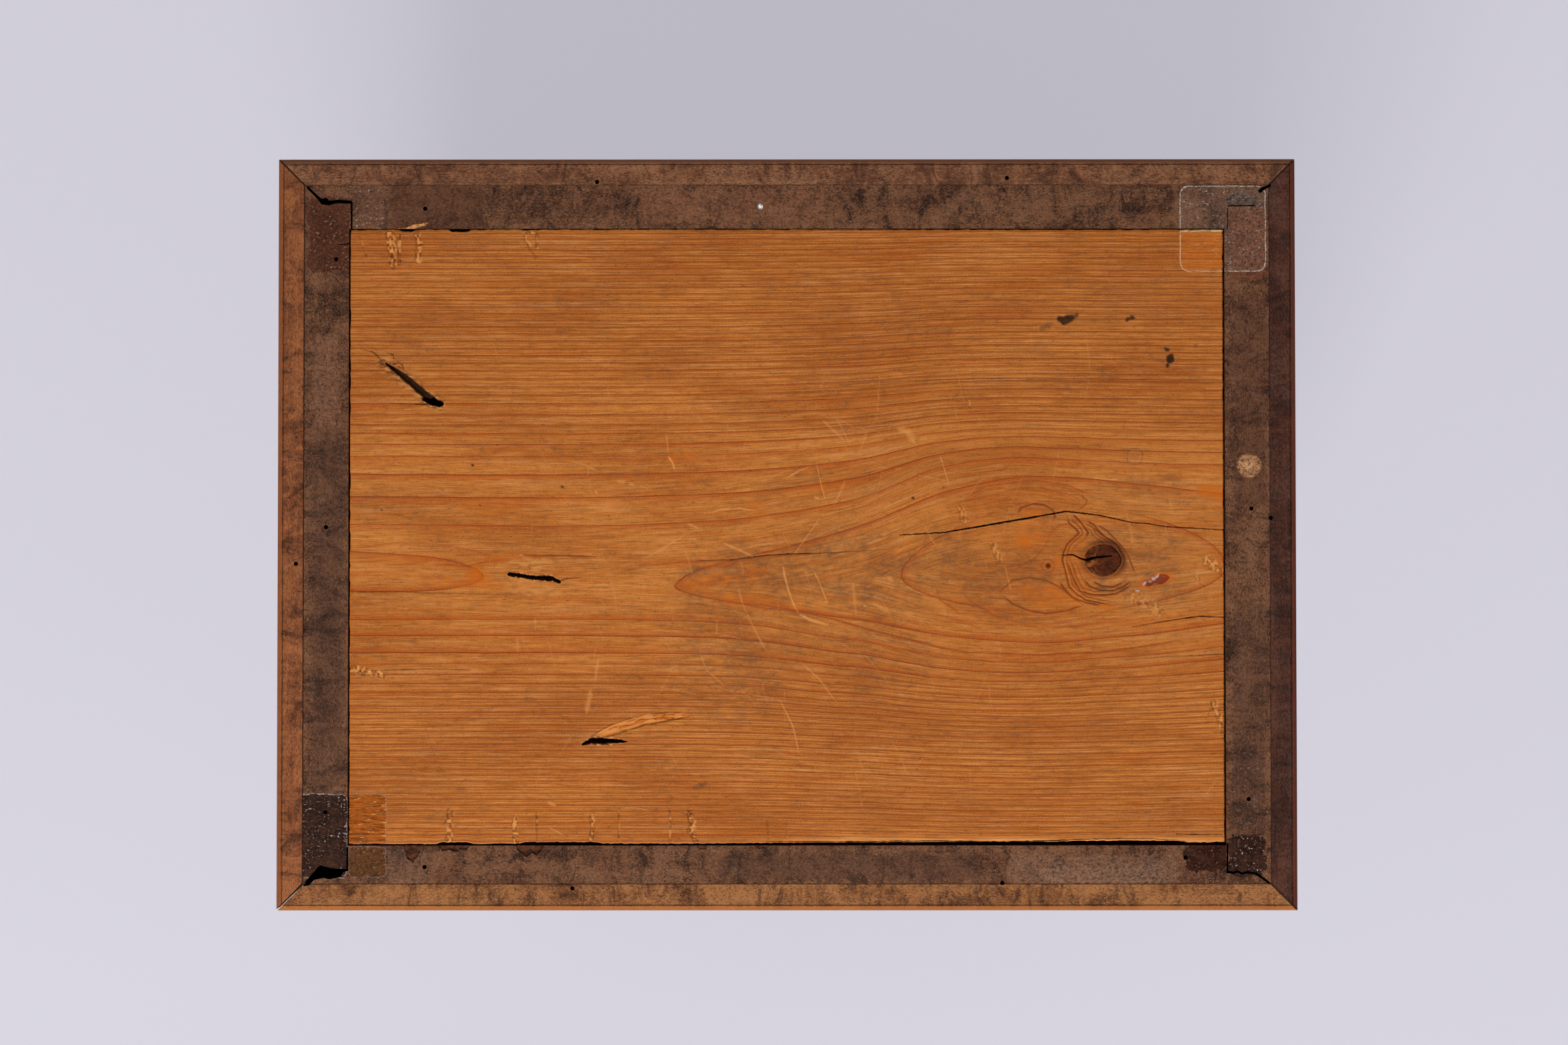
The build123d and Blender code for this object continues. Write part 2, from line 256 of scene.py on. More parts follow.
# Which points lie near a line drawn over the photograph, how far off, how far along it, and on which side
def nearLine(u, v, line, margin):
    line = np.asarray(line, float)
    low, high = line.min(0) - margin, line.max(0) + margin
    near = np.flatnonzero((u > low[0]) & (u < high[0]) & (v > low[1]) & (v < high[1]))
    points = np.stack([u[near], v[near]], 1)
    best, along, side = np.full(len(near), 1e9), np.zeros(len(near)), np.zeros(len(near))
    lengths = np.hypot(*np.diff(line, axis=0).T)
    whole, passed = max(lengths.sum(), 1e-6), 0.0
    for start, end, length in zip(line[:-1], line[1:], lengths):
        way = end - start
        share = np.clip((points - start) @ way / max(length * length, 1e-9), 0, 1)
        gap = points - start - share[:, None] * way
        far = np.hypot(gap[:, 0], gap[:, 1])
        nearer = far < best
        best[nearer] = far[nearer]
        along[nearer] = ((passed + share * length) / whole)[nearer]
        side[nearer] = np.sign(way[0] * gap[:, 1] - way[1] * gap[:, 0])[nearer]
        passed += length
    kept = best < margin
    return near[kept], best[kept], along[kept], side[kept]


# Walnut. Each board or strip has its own tone, and the grain runs along it. The base strips' tones differ
# partly by their wood and partly as painted sheen: the front and right strips are painted lighter and more
# orange, as lit.
# Where a finish has "below", it ends that many mm above the underside and the outside's begins.
usualWalnut = {"dusty": 0.0, "pores": 0.6, "flame": 0.3, "joint": 0.5}
walnutTones = {
    "outside": {"dark": (50, 28, 17), "middle": (86, 51, 32), "light": (118, 76, 49),
                "rough": 0.38, "shine": 0.45, "veins": 0.95, "poreLength": 320},
    "boards": {"dark": (30, 16, 10), "middle": (68, 41, 27), "light": (112, 73, 49), "dust": (124, 88, 63),
               "rough": 0.8, "shine": 0.07, "veins": 0.25, "poreLength": 1400, "dusty": 0.5, "flame": 0.75,
               "below": 0.6},
    "lidBoards": {"dark": (58, 33, 21), "middle": (92, 55, 35), "light": (124, 80, 52),
                  "rough": 0.4, "shine": 0.2, "veins": 1.0, "poreLength": 320},
    "lidTop": {"dark": (54, 30, 18), "middle": (98, 58, 35), "light": (134, 88, 56),
               "rough": 0.38, "shine": 0.25, "veins": 1.0, "poreLength": 280},
    "frontStrip": {"dark": (66, 34, 17), "middle": (104, 62, 33), "light": (150, 97, 54),
                   "dust": (160, 116, 78), "rim": (154, 90, 38), "rough": 0.6, "shine": 0.08, "veins": 0.35,
                   "poreLength": 1300, "dusty": 0.3, "flame": 0.95, "below": 1.4},
    "backStrip": {"dark": (58, 33, 22), "middle": (94, 56, 36), "light": (134, 88, 58),
                  "dust": (140, 102, 74), "rim": (112, 70, 48), "rough": 0.65, "shine": 0.08, "veins": 0.45,
                  "poreLength": 900, "pores": 0.7, "dusty": 0.4, "flame": 0.9, "below": 1.6},
    "leftStrip": {"dark": (28, 14, 9), "middle": (54, 28, 18), "light": (84, 46, 30), "dust": (84, 68, 62),
                  "rim": (98, 46, 30), "rough": 0.5, "shine": 0.1, "veins": 0.5, "poreLength": 700,
                  "pores": 0.5, "dusty": 0.3, "flame": 0.8, "below": 1.6},
    "rightStrip": {"dark": (64, 33, 18), "middle": (114, 64, 36), "light": (146, 86, 48),
                   "dust": (150, 100, 62), "rim": (134, 76, 40), "rough": 0.55, "shine": 0.08, "veins": 0.5,
                   "poreLength": 900, "pores": 0.5, "dusty": 0.2, "flame": 1.1, "joint": 0.95,
                   "below": 1.4},
    "lidStrips": {"dark": (56, 32, 20), "middle": (90, 54, 34), "light": (122, 79, 51),
                  "rough": 0.4, "shine": 0.2, "veins": 0.8, "poreLength": 420},
}
# Its noises: how fine along and across the grain, detail, roughness, distortion
walnutNoises = {
    "streaks": (10, 130, 6, 0.6, 0.9), "fibres": (90, 1500, 3, 0.6), "clouds": (60, 110, 6, 0.7),
    "flame": (150, 80, 9, 0.75, 1.2), "crumbs": (1100, 2100, 5, 0.75, 0.8), "grit": (2600, 2600, 3, 0.8),
}
mouldingForm = {
    "thick": 8.0, "arris": 1.6, "flat": 9.5, "quirk": 0.9, "cove": 5.3, "neck": 2.4,
    "halfLength": 144.5, "halfDepth": 104.5, "lidTop": 132.0, "step": 4.0, "waver": 0.06, "groove": 0.22,
}
# The rounded edge of a base strip, and the fine lines on it: how far out they lie in mm, and how strong
# The rim tone on the rounded edge is partly the varnish there and partly a painted highlight of the lit
# arris
stripRim = {
    "joint": 0.42, "jointEnd": 0.1, "mitre": 0.24, "mitreShare": 0.9, "line": 6.3, "halfLine": 0.14,
    "lineShare": 0.4, "lineTone": (34, 18, 10), "inner": 6.45, "full": 6.8, "share": 0.75,
}

# What sticks to the underside or has marked it, in the photograph's pixels: left, top, right, bottom,
# corner; how ragged in mm; tone, share, roughness; tone and share of its specks; tone and share of its
# outline, if any
residues = [
    ((1850, 440, 1902, 760, 20), 3, (58, 34, 25), .4, .6, (60, 38, 28), .2),
    ((1850, 900, 1902, 1170, 20), 3, (62, 42, 33), .35, .6, (60, 38, 28), .2),
    ((1080, 1280, 1470, 1322, 16), 3, (54, 35, 27), .45, .6, (60, 38, 28), .2),
    ((466, 640, 518, 1180, 20), 3, (62, 42, 33), .4, .6, (60, 38, 28), .2),
    ((468, 500, 506, 640, 12), 2.4, (116, 80, 60), .35, .6, (60, 38, 28), .2),
    ((960, 286, 1240, 336, 16), 3, (112, 72, 50), .35, .6, (60, 38, 28), .2),
    ((1850, 1120, 1900, 1260, 20), 2.4, (56, 36, 28), .5, .6, (176, 156, 142), .5),
    ((1508, 1284, 1770, 1328, 20), 2.2, (112, 84, 66), .35, .7, (60, 38, 28), .6),
    ((1560, 1300, 1740, 1326, 12), 1.6, (116, 88, 70), .25, .7, (52, 32, 24), .9),
    ((585, 278, 727, 347, 10), .8, (66, 40, 27), .55, .6, (40, 22, 14), .4),
    ((527, 280, 584, 347, 6), .8, (84, 56, 40), .5, .6, (196, 186, 178), .6),
    ((462, 296, 527, 408, 8), 1.4, (62, 30, 15), .88, .3, (190, 168, 150), .6, (126, 84, 56), .3),
    ((1846, 309, 1900, 420, 10), .4, (92, 50, 34), .6, .5, (60, 34, 24), .3),
    ((1840, 293, 1886, 310, 4), .7, (44, 42, 41), .85, .5, (150, 150, 146), .8),
    ((1846, 285, 1900, 305, 8), .8, (70, 64, 58), .45, .5, (206, 204, 196), .9),
    ((448, 1191, 522, 1318, 12), .5, (32, 14, 7), .97, .4, (192, 182, 176), .85, (196, 184, 176), .5),
    ((522, 1270, 580, 1317, 8), .5, (70, 40, 14), .9, .5, (172, 136, 92), .7, (196, 184, 176), .2),
    ((580, 1272, 640, 1330, 14), 2.4, (112, 84, 68), .22, .7, (60, 38, 28), .3),
    ((1778, 1266, 1843, 1308, 12), 1.4, (38, 15, 7), 1.0, .25, (170, 130, 100), .7),
    ((1843, 1252, 1899, 1316, 14), 1.4, (34, 15, 9), 1.0, .25, (200, 186, 172), .85),
    ((1856, 680, 1893, 717, 18), .25, (146, 104, 72), .8, .6, (96, 60, 38), .5, (66, 40, 26), .8),
    ((1864, 690, 1882, 706, 8), .3, (158, 118, 84), .6, .6, (96, 60, 38), .5, (110, 72, 46), .8),
    ((1137, 306, 1145, 314, 4), 0.0, (206, 200, 196), 1.0, .3, (140, 120, 100), .3, (60, 36, 26), .6),
    ((1770, 278, 1900, 408, 14), .16, (98, 74, 60), .35, .45, (210, 202, 190), .5, (206, 200, 188), .65),
]
residueLook = {
    "top": 0.6, "edge": (0.15, -0.25), "outlineAt": 0.2, "outline": (0.26, 0.02),
    "darker": 0.62, "lighter": 1.3, "streaks": (0.40, 0.56), "crumbs": (0.58, 0.63),
    "clumps": (0.45, 0.58), "broken": (0.36, 0.60),
}


# Signed distance in mm from the edge of a rounded square drawn over the photograph, less than 0 inside
def fromEdge(tree, place, square, ragged, torn):
    left, top, right, bottom, corner = square
    middle = toBox((left + right) / 2, (top + bottom) / 2)
    rounding = corner / photoPixelsPerMm
    half = [length / 2 / photoPixelsPerMm - rounding for length in (right - left, bottom - top)]
    moved = put(tree, "ShaderNodeMapping", {"Vector": place, "Location": (-middle[0], -middle[1], 0),
                                            "Scale": (1 / mm, 1 / mm, 0)}).outputs[0]
    beyond = vectorWork(tree, "SUBTRACT", vectorWork(tree, "ABSOLUTE", moved), (*half, 0))
    away = vectorWork(tree, "LENGTH", vectorWork(tree, "MAXIMUM", beyond, (0, 0, 0)))
    away = minus(tree, away, rounding)
    return work(tree, "MULTIPLY_ADD", minus(tree, torn, 0.5), ragged * 4, away)


def addResidues(tree, place, colour, roughness, chosen, stretch=(900, 1200, 1), turned=0.6):
    look = residueLook
    under = work(tree, "LESS_THAN", apart(tree, place)[2], look["top"] * mm)
    streaks = mottle(tree, place, stretch, 5, 0.8, (3, 0, 0), turned)
    crumbs = mottle(tree, place, [1.15 * length for length in stretch], 4, 0.8, (1, 9, 0))
    clumps = mottle(tree, place, (240, 240, 1), 4, 0.75, (5, 8, 0))
    torn = mottle(tree, place, (330, 330, 1), 4, 0.65, (4, 2, 0))
    streakShare = between(tree, streaks, *look["streaks"])
    clumped = between(tree, clumps, *look["clumps"], 0.05)
    crumbShare = times(tree, between(tree, crumbs, *look["crumbs"]), clumped)
    uneven = between(tree, clumps, 0.3, 0.6, 0.7, 1.0)
    broken = between(tree, crumbs, *look["broken"])
    for square, ragged, tone, share, rough, speckTone, speckShare, *outline in chosen:
        away = fromEdge(tree, place, square, ragged, torn)
        inside = times(tree, between(tree, away, *look["edge"]), under)
        cover = times(tree, times(tree, inside, share), uneven)
        body = mixed(tree, streakShare, fromPaint(*[c * look["darker"] for c in tone]),
                     fromPaint(*[min(c * look["lighter"], 255) for c in tone]))
        colour = mixed(tree, cover, colour, body)
        specks = times(tree, times(tree, crumbShare, inside), speckShare)
        colour = mixed(tree, specks, colour, fromPaint(*speckTone))
        roughness = mixedValue(tree, cover, roughness, rough)
        if outline:
            lineTone, lineShare = outline
            line = work(tree, "ABSOLUTE", plus(tree, away, look["outlineAt"]))
            line = times(tree, between(tree, line, *look["outline"]), broken)
            line = times(tree, line, times(tree, under, lineShare))
            colour = mixed(tree, line, colour, fromPaint(*lineTone))
    return colour, roughness


# One way walnut can look: its colour, roughness and relief
def walnutLayer(tree, place, tone, alongX, seed):
    shift = (seed * 0.37, seed * 0.73, seed * 0.21)

    def noise(along, across, detail, roughness, distortion=0.0):
        stretch = (along, across, across) if alongX else (across, along, across)
        return mottle(tree, place, stretch, detail, roughness, shift, distortion)

    veins, dark, light = tone["veins"], tone["dark"], tone["light"]
    streaks, fibres, clouds, flame, crumbs, grit = (noise(*values) for values in walnutNoises.values())
    poreShare = between(tree, noise(tone["poreLength"], 5200, 2, 0.5), 0.56, 0.66)
    fine = plus(tree, times(tree, streaks, 0.5 * veins), times(tree, fibres, 0.3 * veins))
    fine = plus(tree, fine, times(tree, clouds, 0.1 + 0.25 * (1 - veins)))
    fine = plus(tree, fine, times(tree, crumbs, 0.1 + 0.65 * (1 - veins)))
    middle = 0.45 + 0.05 * veins
    colour = mixed(tree, between(tree, fine, middle - 0.09, middle + 0.02), fromPaint(*dark),
                   fromPaint(*tone["middle"]))
    colour = mixed(tree, between(tree, fine, middle + 0.02, middle + 0.13), colour, fromPaint(*light))
    flecked = tone["flame"] * (1.3 - veins)
    colour = layered(tree, colour, [(flame, 0.50, 0.62, flecked, light),
                                    (flame, 0.49, 0.38, flecked, dark)])
    if tone["dusty"]:
        dusty = times(tree, between(tree, clouds, 0.42, 0.66), between(tree, crumbs, 0.34, 0.62))
        colour = mixed(tree, times(tree, dusty, tone["dusty"]), colour, fromPaint(*tone["dust"]))
    colour = layered(tree, colour, [(grit, 0.56, 0.70, 0.7 - 0.6 * veins, [c * 0.4 for c in dark]),
                                    (grit, 0.44, 0.30, 0.6 - 0.56 * veins, [c * 0.6 + 90 for c in light])])
    poreTone = fromPaint(*[c * 0.45 for c in dark])
    colour = mixed(tree, times(tree, poreShare, tone["pores"]), colour, poreTone)
    roughness = between(tree, clouds, 0.3, 0.7, tone["rough"] - 0.06, tone["rough"] + 0.08)
    height = minus(tree, times(tree, fibres, 0.5), poreShare)
    height = plus(tree, height, times(tree, crumbs, tone["dusty"]))
    return colour, roughness, height


def addRim(tree, place, colour, tone):
    rim = stripRim
    x, y, _ = apart(tree, place)
    outX = minus(tree, work(tree, "ABSOLUTE", x), mouldingForm["halfLength"] * mm)
    outY = minus(tree, work(tree, "ABSOLUTE", y), mouldingForm["halfDepth"] * mm)
    out = work(tree, "DIVIDE", larger(tree, outX, outY), mm)
    # The rounded edge in the strip's rim tone: partly varnish, partly a painted highlight where the light
    # catches it
    onRim = times(tree, between(tree, out, rim["inner"], rim["full"]), rim["share"])
    colour = mixed(tree, onRim, colour, fromPaint(*tone["rim"]))
    line = work(tree, "ABSOLUTE", minus(tree, out, rim["line"]))
    line = times(tree, between(tree, line, 2 * rim["halfLine"], rim["halfLine"]), rim["lineShare"])
    joint = times(tree, between(tree, out, rim["joint"], rim["jointEnd"]), tone["joint"])
    mitre = work(tree, "DIVIDE", work(tree, "ABSOLUTE", minus(tree, outX, outY)), mm)
    mitre = times(tree, between(tree, mitre, 2 * rim["mitre"], rim["mitre"]), rim["mitreShare"])
    line = larger(tree, larger(tree, line, joint), mitre)
    return mixed(tree, line, colour, fromPaint(*rim["lineTone"]))


def walnutFinish(toneName, alongX, seed):
    tone, outsideTone = ({**usualWalnut, **walnutTones[name]} for name in (toneName, "outside"))
    material, tree, shader, _ = newMaterial(f"walnut_{toneName}_{'x' if alongX else 'y'}")
    place = objectPlace(tree)
    colour, roughness, height = walnutLayer(tree, place, tone, alongX, seed)
    if "rim" in tone:
        colour = addRim(tree, place, colour, tone)
    if toneName == "boards":
        colour, roughness = addResidues(tree, place, colour, roughness, residues)
    if "below" in tone:
        outside = walnutLayer(tree, place, outsideTone, alongX, seed + 5)
        above = between(tree, apart(tree, place)[2], tone["below"] * 0.6 * mm, tone["below"] * mm)
        colour = mixed(tree, above, colour, outside[0])
        roughness = mixedValue(tree, above, roughness, outside[1])
        height = mixedValue(tree, above, height, outside[2])
    fill(tree, shader, {"Base Color": colour, "Roughness": roughness, "Specular IOR Level": tone["shine"],
                        "Normal": relief(tree, height, 0.4, 0.00015)})
    return material


# Torn wood, and the near-black painted shade inside gaps and nail holes
def cutFinish(name, dark, light):
    material, tree, shader, _ = newMaterial(name)
    torn = mottle(tree, objectPlace(tree), (900, 900, 900), 5, 0.7)
    colour = mixed(tree, between(tree, torn, 0.35, 0.65), fromPaint(*dark), fromPaint(*light))
    fill(tree, shader, {"Base Color": colour, "Roughness": 0.9, "Specular IOR Level": 0.05,
                        "Normal": relief(tree, torn, 0.8, 0.0004)})
    return material


# Aged brass and dark steel
metalLooks = {
    "agedBrass": {"bright": (176, 138, 78), "dull": (104, 76, 42), "stain": (58, 42, 28), "rough": 0.36},
    "screwBrass": {"bright": (168, 130, 74), "dull": (92, 68, 40), "stain": (48, 36, 26), "rough": 0.42},
    "pinSteel": {"bright": (112, 106, 100), "dull": (70, 62, 56), "stain": (70, 44, 30), "rough": 0.45},
}


def metalFinish(name):
    look = metalLooks[name]
    material, tree, shader, _ = newMaterial(name)
    place = objectPlace(tree)
    clouds = mottle(tree, place, (170, 170, 170), 5, 0.6)
    specks = mottle(tree, place, (1300, 1300, 1300), 3, 0.6)
    brushing = mottle(tree, place, (90, 2600, 2600), 2, 0.5)
    bright, dull, dark = (fromPaint(*look[tone]) for tone in ("bright", "dull", "stain"))
    colour = mixed(tree, between(tree, clouds, 0.35, 0.62), bright, dull)
    stain = times(tree, between(tree, clouds, 0.55, 0.75), between(tree, specks, 0.40, 0.62))
    colour = mixed(tree, stain, colour, dark)
    roughness = plus(tree, between(tree, clouds, 0.3, 0.7, look["rough"] - 0.08, look["rough"] + 0.14),
                     times(tree, brushing, 0.08))
    fill(tree, shader, {"Base Color": colour, "Roughness": roughness, "Metallic": 1.0,
                        "Normal": relief(tree, brushing, 0.25, 0.00005)})
    return material


# The pine reads what is drawn on its mesh: year rings, grime, scrapes, resin and depth. The depth channel,
# laid on in the near-black "hole" tone, is painted shade in cracks, gouges, chops, torn fibres and along
# the gap at the panel's edge. It also holds the real dark of some year lines and of deep grime
pineTones = {
    "plain": (193, 117, 47), "deeper": (170, 95, 31), "lateWood": (106, 44, 10), "glow": (166, 68, 12),
    "fleck": (70, 36, 18), "pale": (238, 190, 138), "stain": (136, 84, 42), "shade": (84, 42, 14),
    "grime": (98, 64, 40), "scraped": (218, 150, 82), "resin": (190, 94, 12), "pocket": (136, 34, 4),
    "hole": (12, 5, 2), "knot": (38, 13, 6), "knotLight": (80, 34, 15), "crystal": (214, 206, 200),
}
# Its noises: how fine along and across the grain, detail, roughness, shift
pineNoises = {
    "wobble": (45, 130, 4, 0.6), "breaks": (14, 420, 3, 0.6), "clouds": (20, 55, 5, 0.65),
    "fibres": (100, 2300, 4, 0.7), "streaks": (22, 620, 4, 0.6), "stains": (60, 240, 8, 0.8, (7, 2, 0)),
    "smudges": (150, 300, 7, 0.8, (1, 4, 0)), "flecks": (420, 2100, 2, 0.5, (3, 1, 0)),
    "dapple": (420, 700, 4, 0.7), "grit": (2300, 3400, 3, 0.8),
}
# How wide a year line fades on its soft side and ends on its sharp one, in mm
pineLines = {"softSide": 2.8, "coreSide": 0.4, "thinSide": 0.5, "sharpSide": 0.1, "wobble": 0.55}
pineGloss = {"rough": 0.58, "resin": -0.18, "shine": 0.06}


def attribute(tree, name):
    return put(tree, "ShaderNodeAttribute", attribute_name=name).outputs["Fac"]


# The four channels of a colour that is drawn on the mesh
def channels(tree, name):
    drawn = put(tree, "ShaderNodeAttribute", attribute_name=name).outputs
    parts = put(tree, "ShaderNodeSeparateColor", {0: drawn["Color"]}).outputs
    return parts[0], parts[1], parts[2], drawn["Alpha"]


def yearLine(tree, phase, spacing, softSide, sharpSide):
    inRing = work(tree, "FRACT", phase)
    before = times(tree, minus(tree, 1.0, inRing), spacing)
    after = times(tree, inRing, spacing)
    soft = work(tree, "POWER", minus(tree, 1.0, work(tree, "DIVIDE", before, softSide), clamp=True), 2.2)
    sharp = minus(tree, 1.0, work(tree, "DIVIDE", after, sharpSide), clamp=True)
    return larger(tree, soft, sharp)


pineResidues = [
    ((1770, 278, 1900, 408, 14), .16, (166, 92, 26), .2, .4, (214, 180, 130), .5, (220, 204, 166), .7),
    ((1772, 341, 1841, 348, 2), .15, (206, 188, 140), .5, .4, (226, 216, 186), .5),
    ((448, 1191, 580, 1318, 12), .5, (120, 60, 14), .92, .4, (226, 172, 104), .85, (206, 184, 150), .3),
    ((1690, 672, 1716, 698, 12), .3, (150, 96, 52), .15, .6, (110, 66, 34), .2, (92, 54, 30), .8),
]


def pineFinish():
    look = pineLines
    tones = {name: fromPaint(*tone) for name, tone in pineTones.items()}
    material, tree, shader, _ = newMaterial("oldPine")
    place = objectPlace(tree)
    x, _, z = apart(tree, place)
    flow = times(tree, attribute(tree, "flow"), mm)
    grainPlace = put(tree, "ShaderNodeCombineXYZ", {0: x, 1: flow, 2: z}).outputs[0]
    noises = {}
    for name, (along, across, *more) in pineNoises.items():
        ground = place if name in ("dapple", "grit") else grainPlace
        noises[name] = mottle(tree, ground, (along, across, 1), *more)
    clouds, fibres, dapple = noises["clouds"], noises["fibres"], noises["dapple"]

    # Year lines, each of its own strength, with a glow on the soft side and thin ones between them
    spacing = attribute(tree, "spacing")
    wobble = times(tree, minus(tree, noises["wobble"], 0.5), look["wobble"])
    phase = plus(tree, attribute(tree, "ring"), work(tree, "DIVIDE", wobble, spacing))
    nearest = work(tree, "ROUND", phase)
    strength = put(tree, "ShaderNodeTexWhiteNoise", {"W": nearest}, noise_dimensions="1D").outputs["Value"]
    strength = work(tree, "MULTIPLY_ADD", strength, 0.45, 0.75)
    strength = times(tree, strength, between(tree, spacing, 2.0, 4.5, 1.0, 1.2))
    strength = times(tree, strength, between(tree, noises["breaks"], 0.30, 0.58, 0.65, 1.0))
    softSide = between(tree, spacing, 1.0, 6.0, 0.6, look["softSide"])
    glow = times(tree, yearLine(tree, phase, spacing, softSide, look["sharpSide"]), strength)
    lines = times(tree, yearLine(tree, phase, spacing, look["coreSide"], look["sharpSide"]), strength)
    thinPhase, thinSpacing = work(tree, "MULTIPLY_ADD", phase, 2.0, 0.31), times(tree, spacing, 0.5)
    thin = times(tree, yearLine(tree, thinPhase, thinSpacing, look["thinSide"], look["sharpSide"]), 0.6)
    lines = larger(tree, lines, times(tree, thin, between(tree, spacing, 2.4, 3.4, 1.0, 0.0)))

    # depth: painted shade in cracks, gouges, chops and torn fibres, and the dark of some year lines and
    # deep grime
    grime, scraped, resin, depth = channels(tree, "marks")
    drawn, heart, quiet, crystals = channels(tree, "figure")
    glow = larger(tree, times(tree, glow, minus(tree, 1.0, quiet)), drawn)
    lines = times(tree, lines, minus(tree, 1.0, quiet))
    lines = larger(tree, lines, work(tree, "POWER", drawn, 2.2), clamp=True)
    smudges = between(tree, noises["smudges"], 0.50, 0.66)
    smudges = times(tree, smudges, between(tree, dapple, 0.38, 0.58, 0.1, 0.55))
    smudges = times(tree, smudges, between(tree, clouds, 0.42, 0.62, 0.2, 1.0))
    tones["heart"] = mixed(tree, between(tree, dapple, 0.35, 0.65), tones["knot"], tones["knotLight"])

    def where(name, low, high, share):
        return times(tree, between(tree, noises[name], low, high), share)

    # Laid one over another: share and tone
    colour = mixed(tree, between(tree, clouds, 0.34, 0.66), tones["plain"], tones["deeper"])
    for share, tone in (
            (where("fibres", 0.46, 0.66, 0.5), "shade"), (where("fibres", 0.46, 0.30, 0.2), "pale"),
            (where("streaks", 0.50, 0.75, 0.12), "pale"), (where("streaks", 0.49, 0.36, 0.3), "glow"),
            (where("dapple", 0.54, 0.68, 0.24), "shade"),
            (times(tree, glow, 0.8), "glow"), (times(tree, lines, 0.95), "lateWood"),
            (where("stains", 0.50, 0.66, 0.2), "stain"), (smudges, "grime"),
            (where("grit", 0.56, 0.68, 0.55), "shade"), (where("grit", 0.44, 0.32, 0.24), "pale"),
            (where("flecks", 0.69, 0.75, 0.75), "fleck"),
            (resin, "resin"), (between(tree, resin, 0.84, 0.97), "pocket"),
            (times(tree, grime, between(tree, dapple, 0.30, 0.62, 0.35, 1.0)), "grime"),
            (times(tree, scraped, between(tree, fibres, 0.25, 0.60, 0.45, 1.0)), "scraped"),
            (heart, "heart"), (depth, "hole"), (crystals, "crystal")):
        colour = mixed(tree, share, colour, tones[tone])

    rough = pineGloss["rough"]
    roughness = plus(tree, between(tree, dapple, 0.3, 0.7, rough - 0.05, rough + 0.1),
                     times(tree, resin, pineGloss["resin"]))
    colour, roughness = addResidues(tree, place, colour, roughness, pineResidues, (200, 1500, 1), 0.1)
    height = plus(tree, times(tree, fibres, 0.6), times(tree, dapple, 0.5))
    height = plus(tree, height, times(tree, lines, 0.4))
    fill(tree, shader, {"Base Color": colour, "Roughness": roughness,
                        "Specular IOR Level": pineGloss["shine"],
                        "Normal": relief(tree, height, 0.3, 0.00015)})
    return material


print("materials described")


# The year rings of the bottom, as heights in the photograph. Each curve is a few points read off it.
ringCurves = {
    "lift": [(515, 0), (1000, .02), (1100, .08), (1200, .21), (1250, .3), (1300, .43), (1350, .63),
             (1400, .83), (1450, .94), (1500, 1), (1600, .98), (1700, .93), (1840, .9)],
    "liftAmount": [(345, 4), (449, 9), (555, 18), (602, 22), (650, 31), (684, 42), (711, 56), (745, 74),
                   (785, 100)],
    "above": [(345, 34.5), (388, 29.5), (449.5, 23), (500, 18), (555, 13), (602, 9.2), (622, 8), (637, 7),
              (650, 6), (666, 5), (684, 4), (711, 3), (745, 2), (787, 1)],
    "dip": [(515, 0), (1000, .03), (1050, .05), (1100, .1), (1150, .18), (1200, .33), (1250, .48),
            (1300, .58), (1350, .78), (1400, .95), (1450, 1.05), (1550, 1.12), (1600, 1.08), (1650, 1.0),
            (1700, .95), (1840, .7)],
    "dipAmount": [(930, 58), (954, 50), (980, 39), (1013, 30), (1040, 25), (1100, 15), (1257, 5)],
    "below": [(930, 1), (954, 2), (980, 3), (1013, 5), (1040, 7), (1060, 9), (1150, 18.4), (1280, 33)],
    "axis": [(515, 856), (730, 866), (870, 872), (1013, 880), (1150, 880), (1300, 868), (1450, 850),
             (1550, 835), (1653, 838), (1840, 850)],
    "core": [(515, -.22), (650, -.14), (727, 0), (800, .12), (900, .14), (1013, 0), (1080, -.15),
             (1200, -.45), (1300, -.8), (1450, -1.4), (1600, -2.0), (1700, -1.6), (1840, -1.0)],
    "firstAbove": 787, "firstBelow": 930, "mostLift": 100, "mostDip": 58, "rounds": 12,
}


def smoothCurve(x, points):
    xs, ys = np.array(points, float).T
    slopes = np.gradient(ys, xs)
    i = np.clip(np.searchsorted(xs, x) - 1, 0, len(xs) - 2)
    step = xs[i + 1] - xs[i]
    t = np.clip((x - xs[i]) / step, 0, 1)
    return ((2 * t**3 - 3 * t**2 + 1) * ys[i] + (t**3 - 2 * t**2 + t) * step * slopes[i]
            + (-2 * t**3 + 3 * t**2) * ys[i + 1] + (t**3 - t**2) * step * slopes[i + 1])


def straightCurve(x, points):
    return np.interp(x, *np.array(points, float).T)


def yearRings(u, v):
    c = ringCurves
    lift, dip = smoothCurve(u, c["lift"]), smoothCurve(u, c["dip"])
    upper, lower = v.copy(), v.copy()
    for _ in range(c["rounds"]):
        upper = v + straightCurve(upper, c["liftAmount"]) * lift
        lower = v - straightCurve(lower, c["dipAmount"]) * dip
    highest = c["firstAbove"] - c["mostLift"] * lift
    lowest = c["firstBelow"] + c["mostDip"] * dip
    axis = smoothCurve(u, c["axis"])
    share = np.where(v < axis, (axis - v) / (axis - highest), (v - axis) / (lowest - axis))
    core = smoothCurve(u, c["core"])
    middle = (1 - core) * share**2 + core
    rings = np.where(v < highest, straightCurve(upper, c["above"]),
                     np.where(v > lowest, straightCurve(lower, c["below"]), middle))
    flow = np.where(v < axis, upper, lower)
    return rings, flow


# The bottom panel
panelForm = {
    "left": -131.2, "right": 130.5, "front": -92.2, "back": 91.5, "top": 9.5,
    "columns": 200, "rows": 140, "levels": 3,
    "recess": 0.16, "wave": 0.05, "edgeWear": 0.6, "edgeDrop": 0.3, "edgeShadeReach": 0.5, "insideSpacing": 2.9,
    "edgeReach": 2.0, "frayReach": 1.2, "leastRecess": 0.03,
}


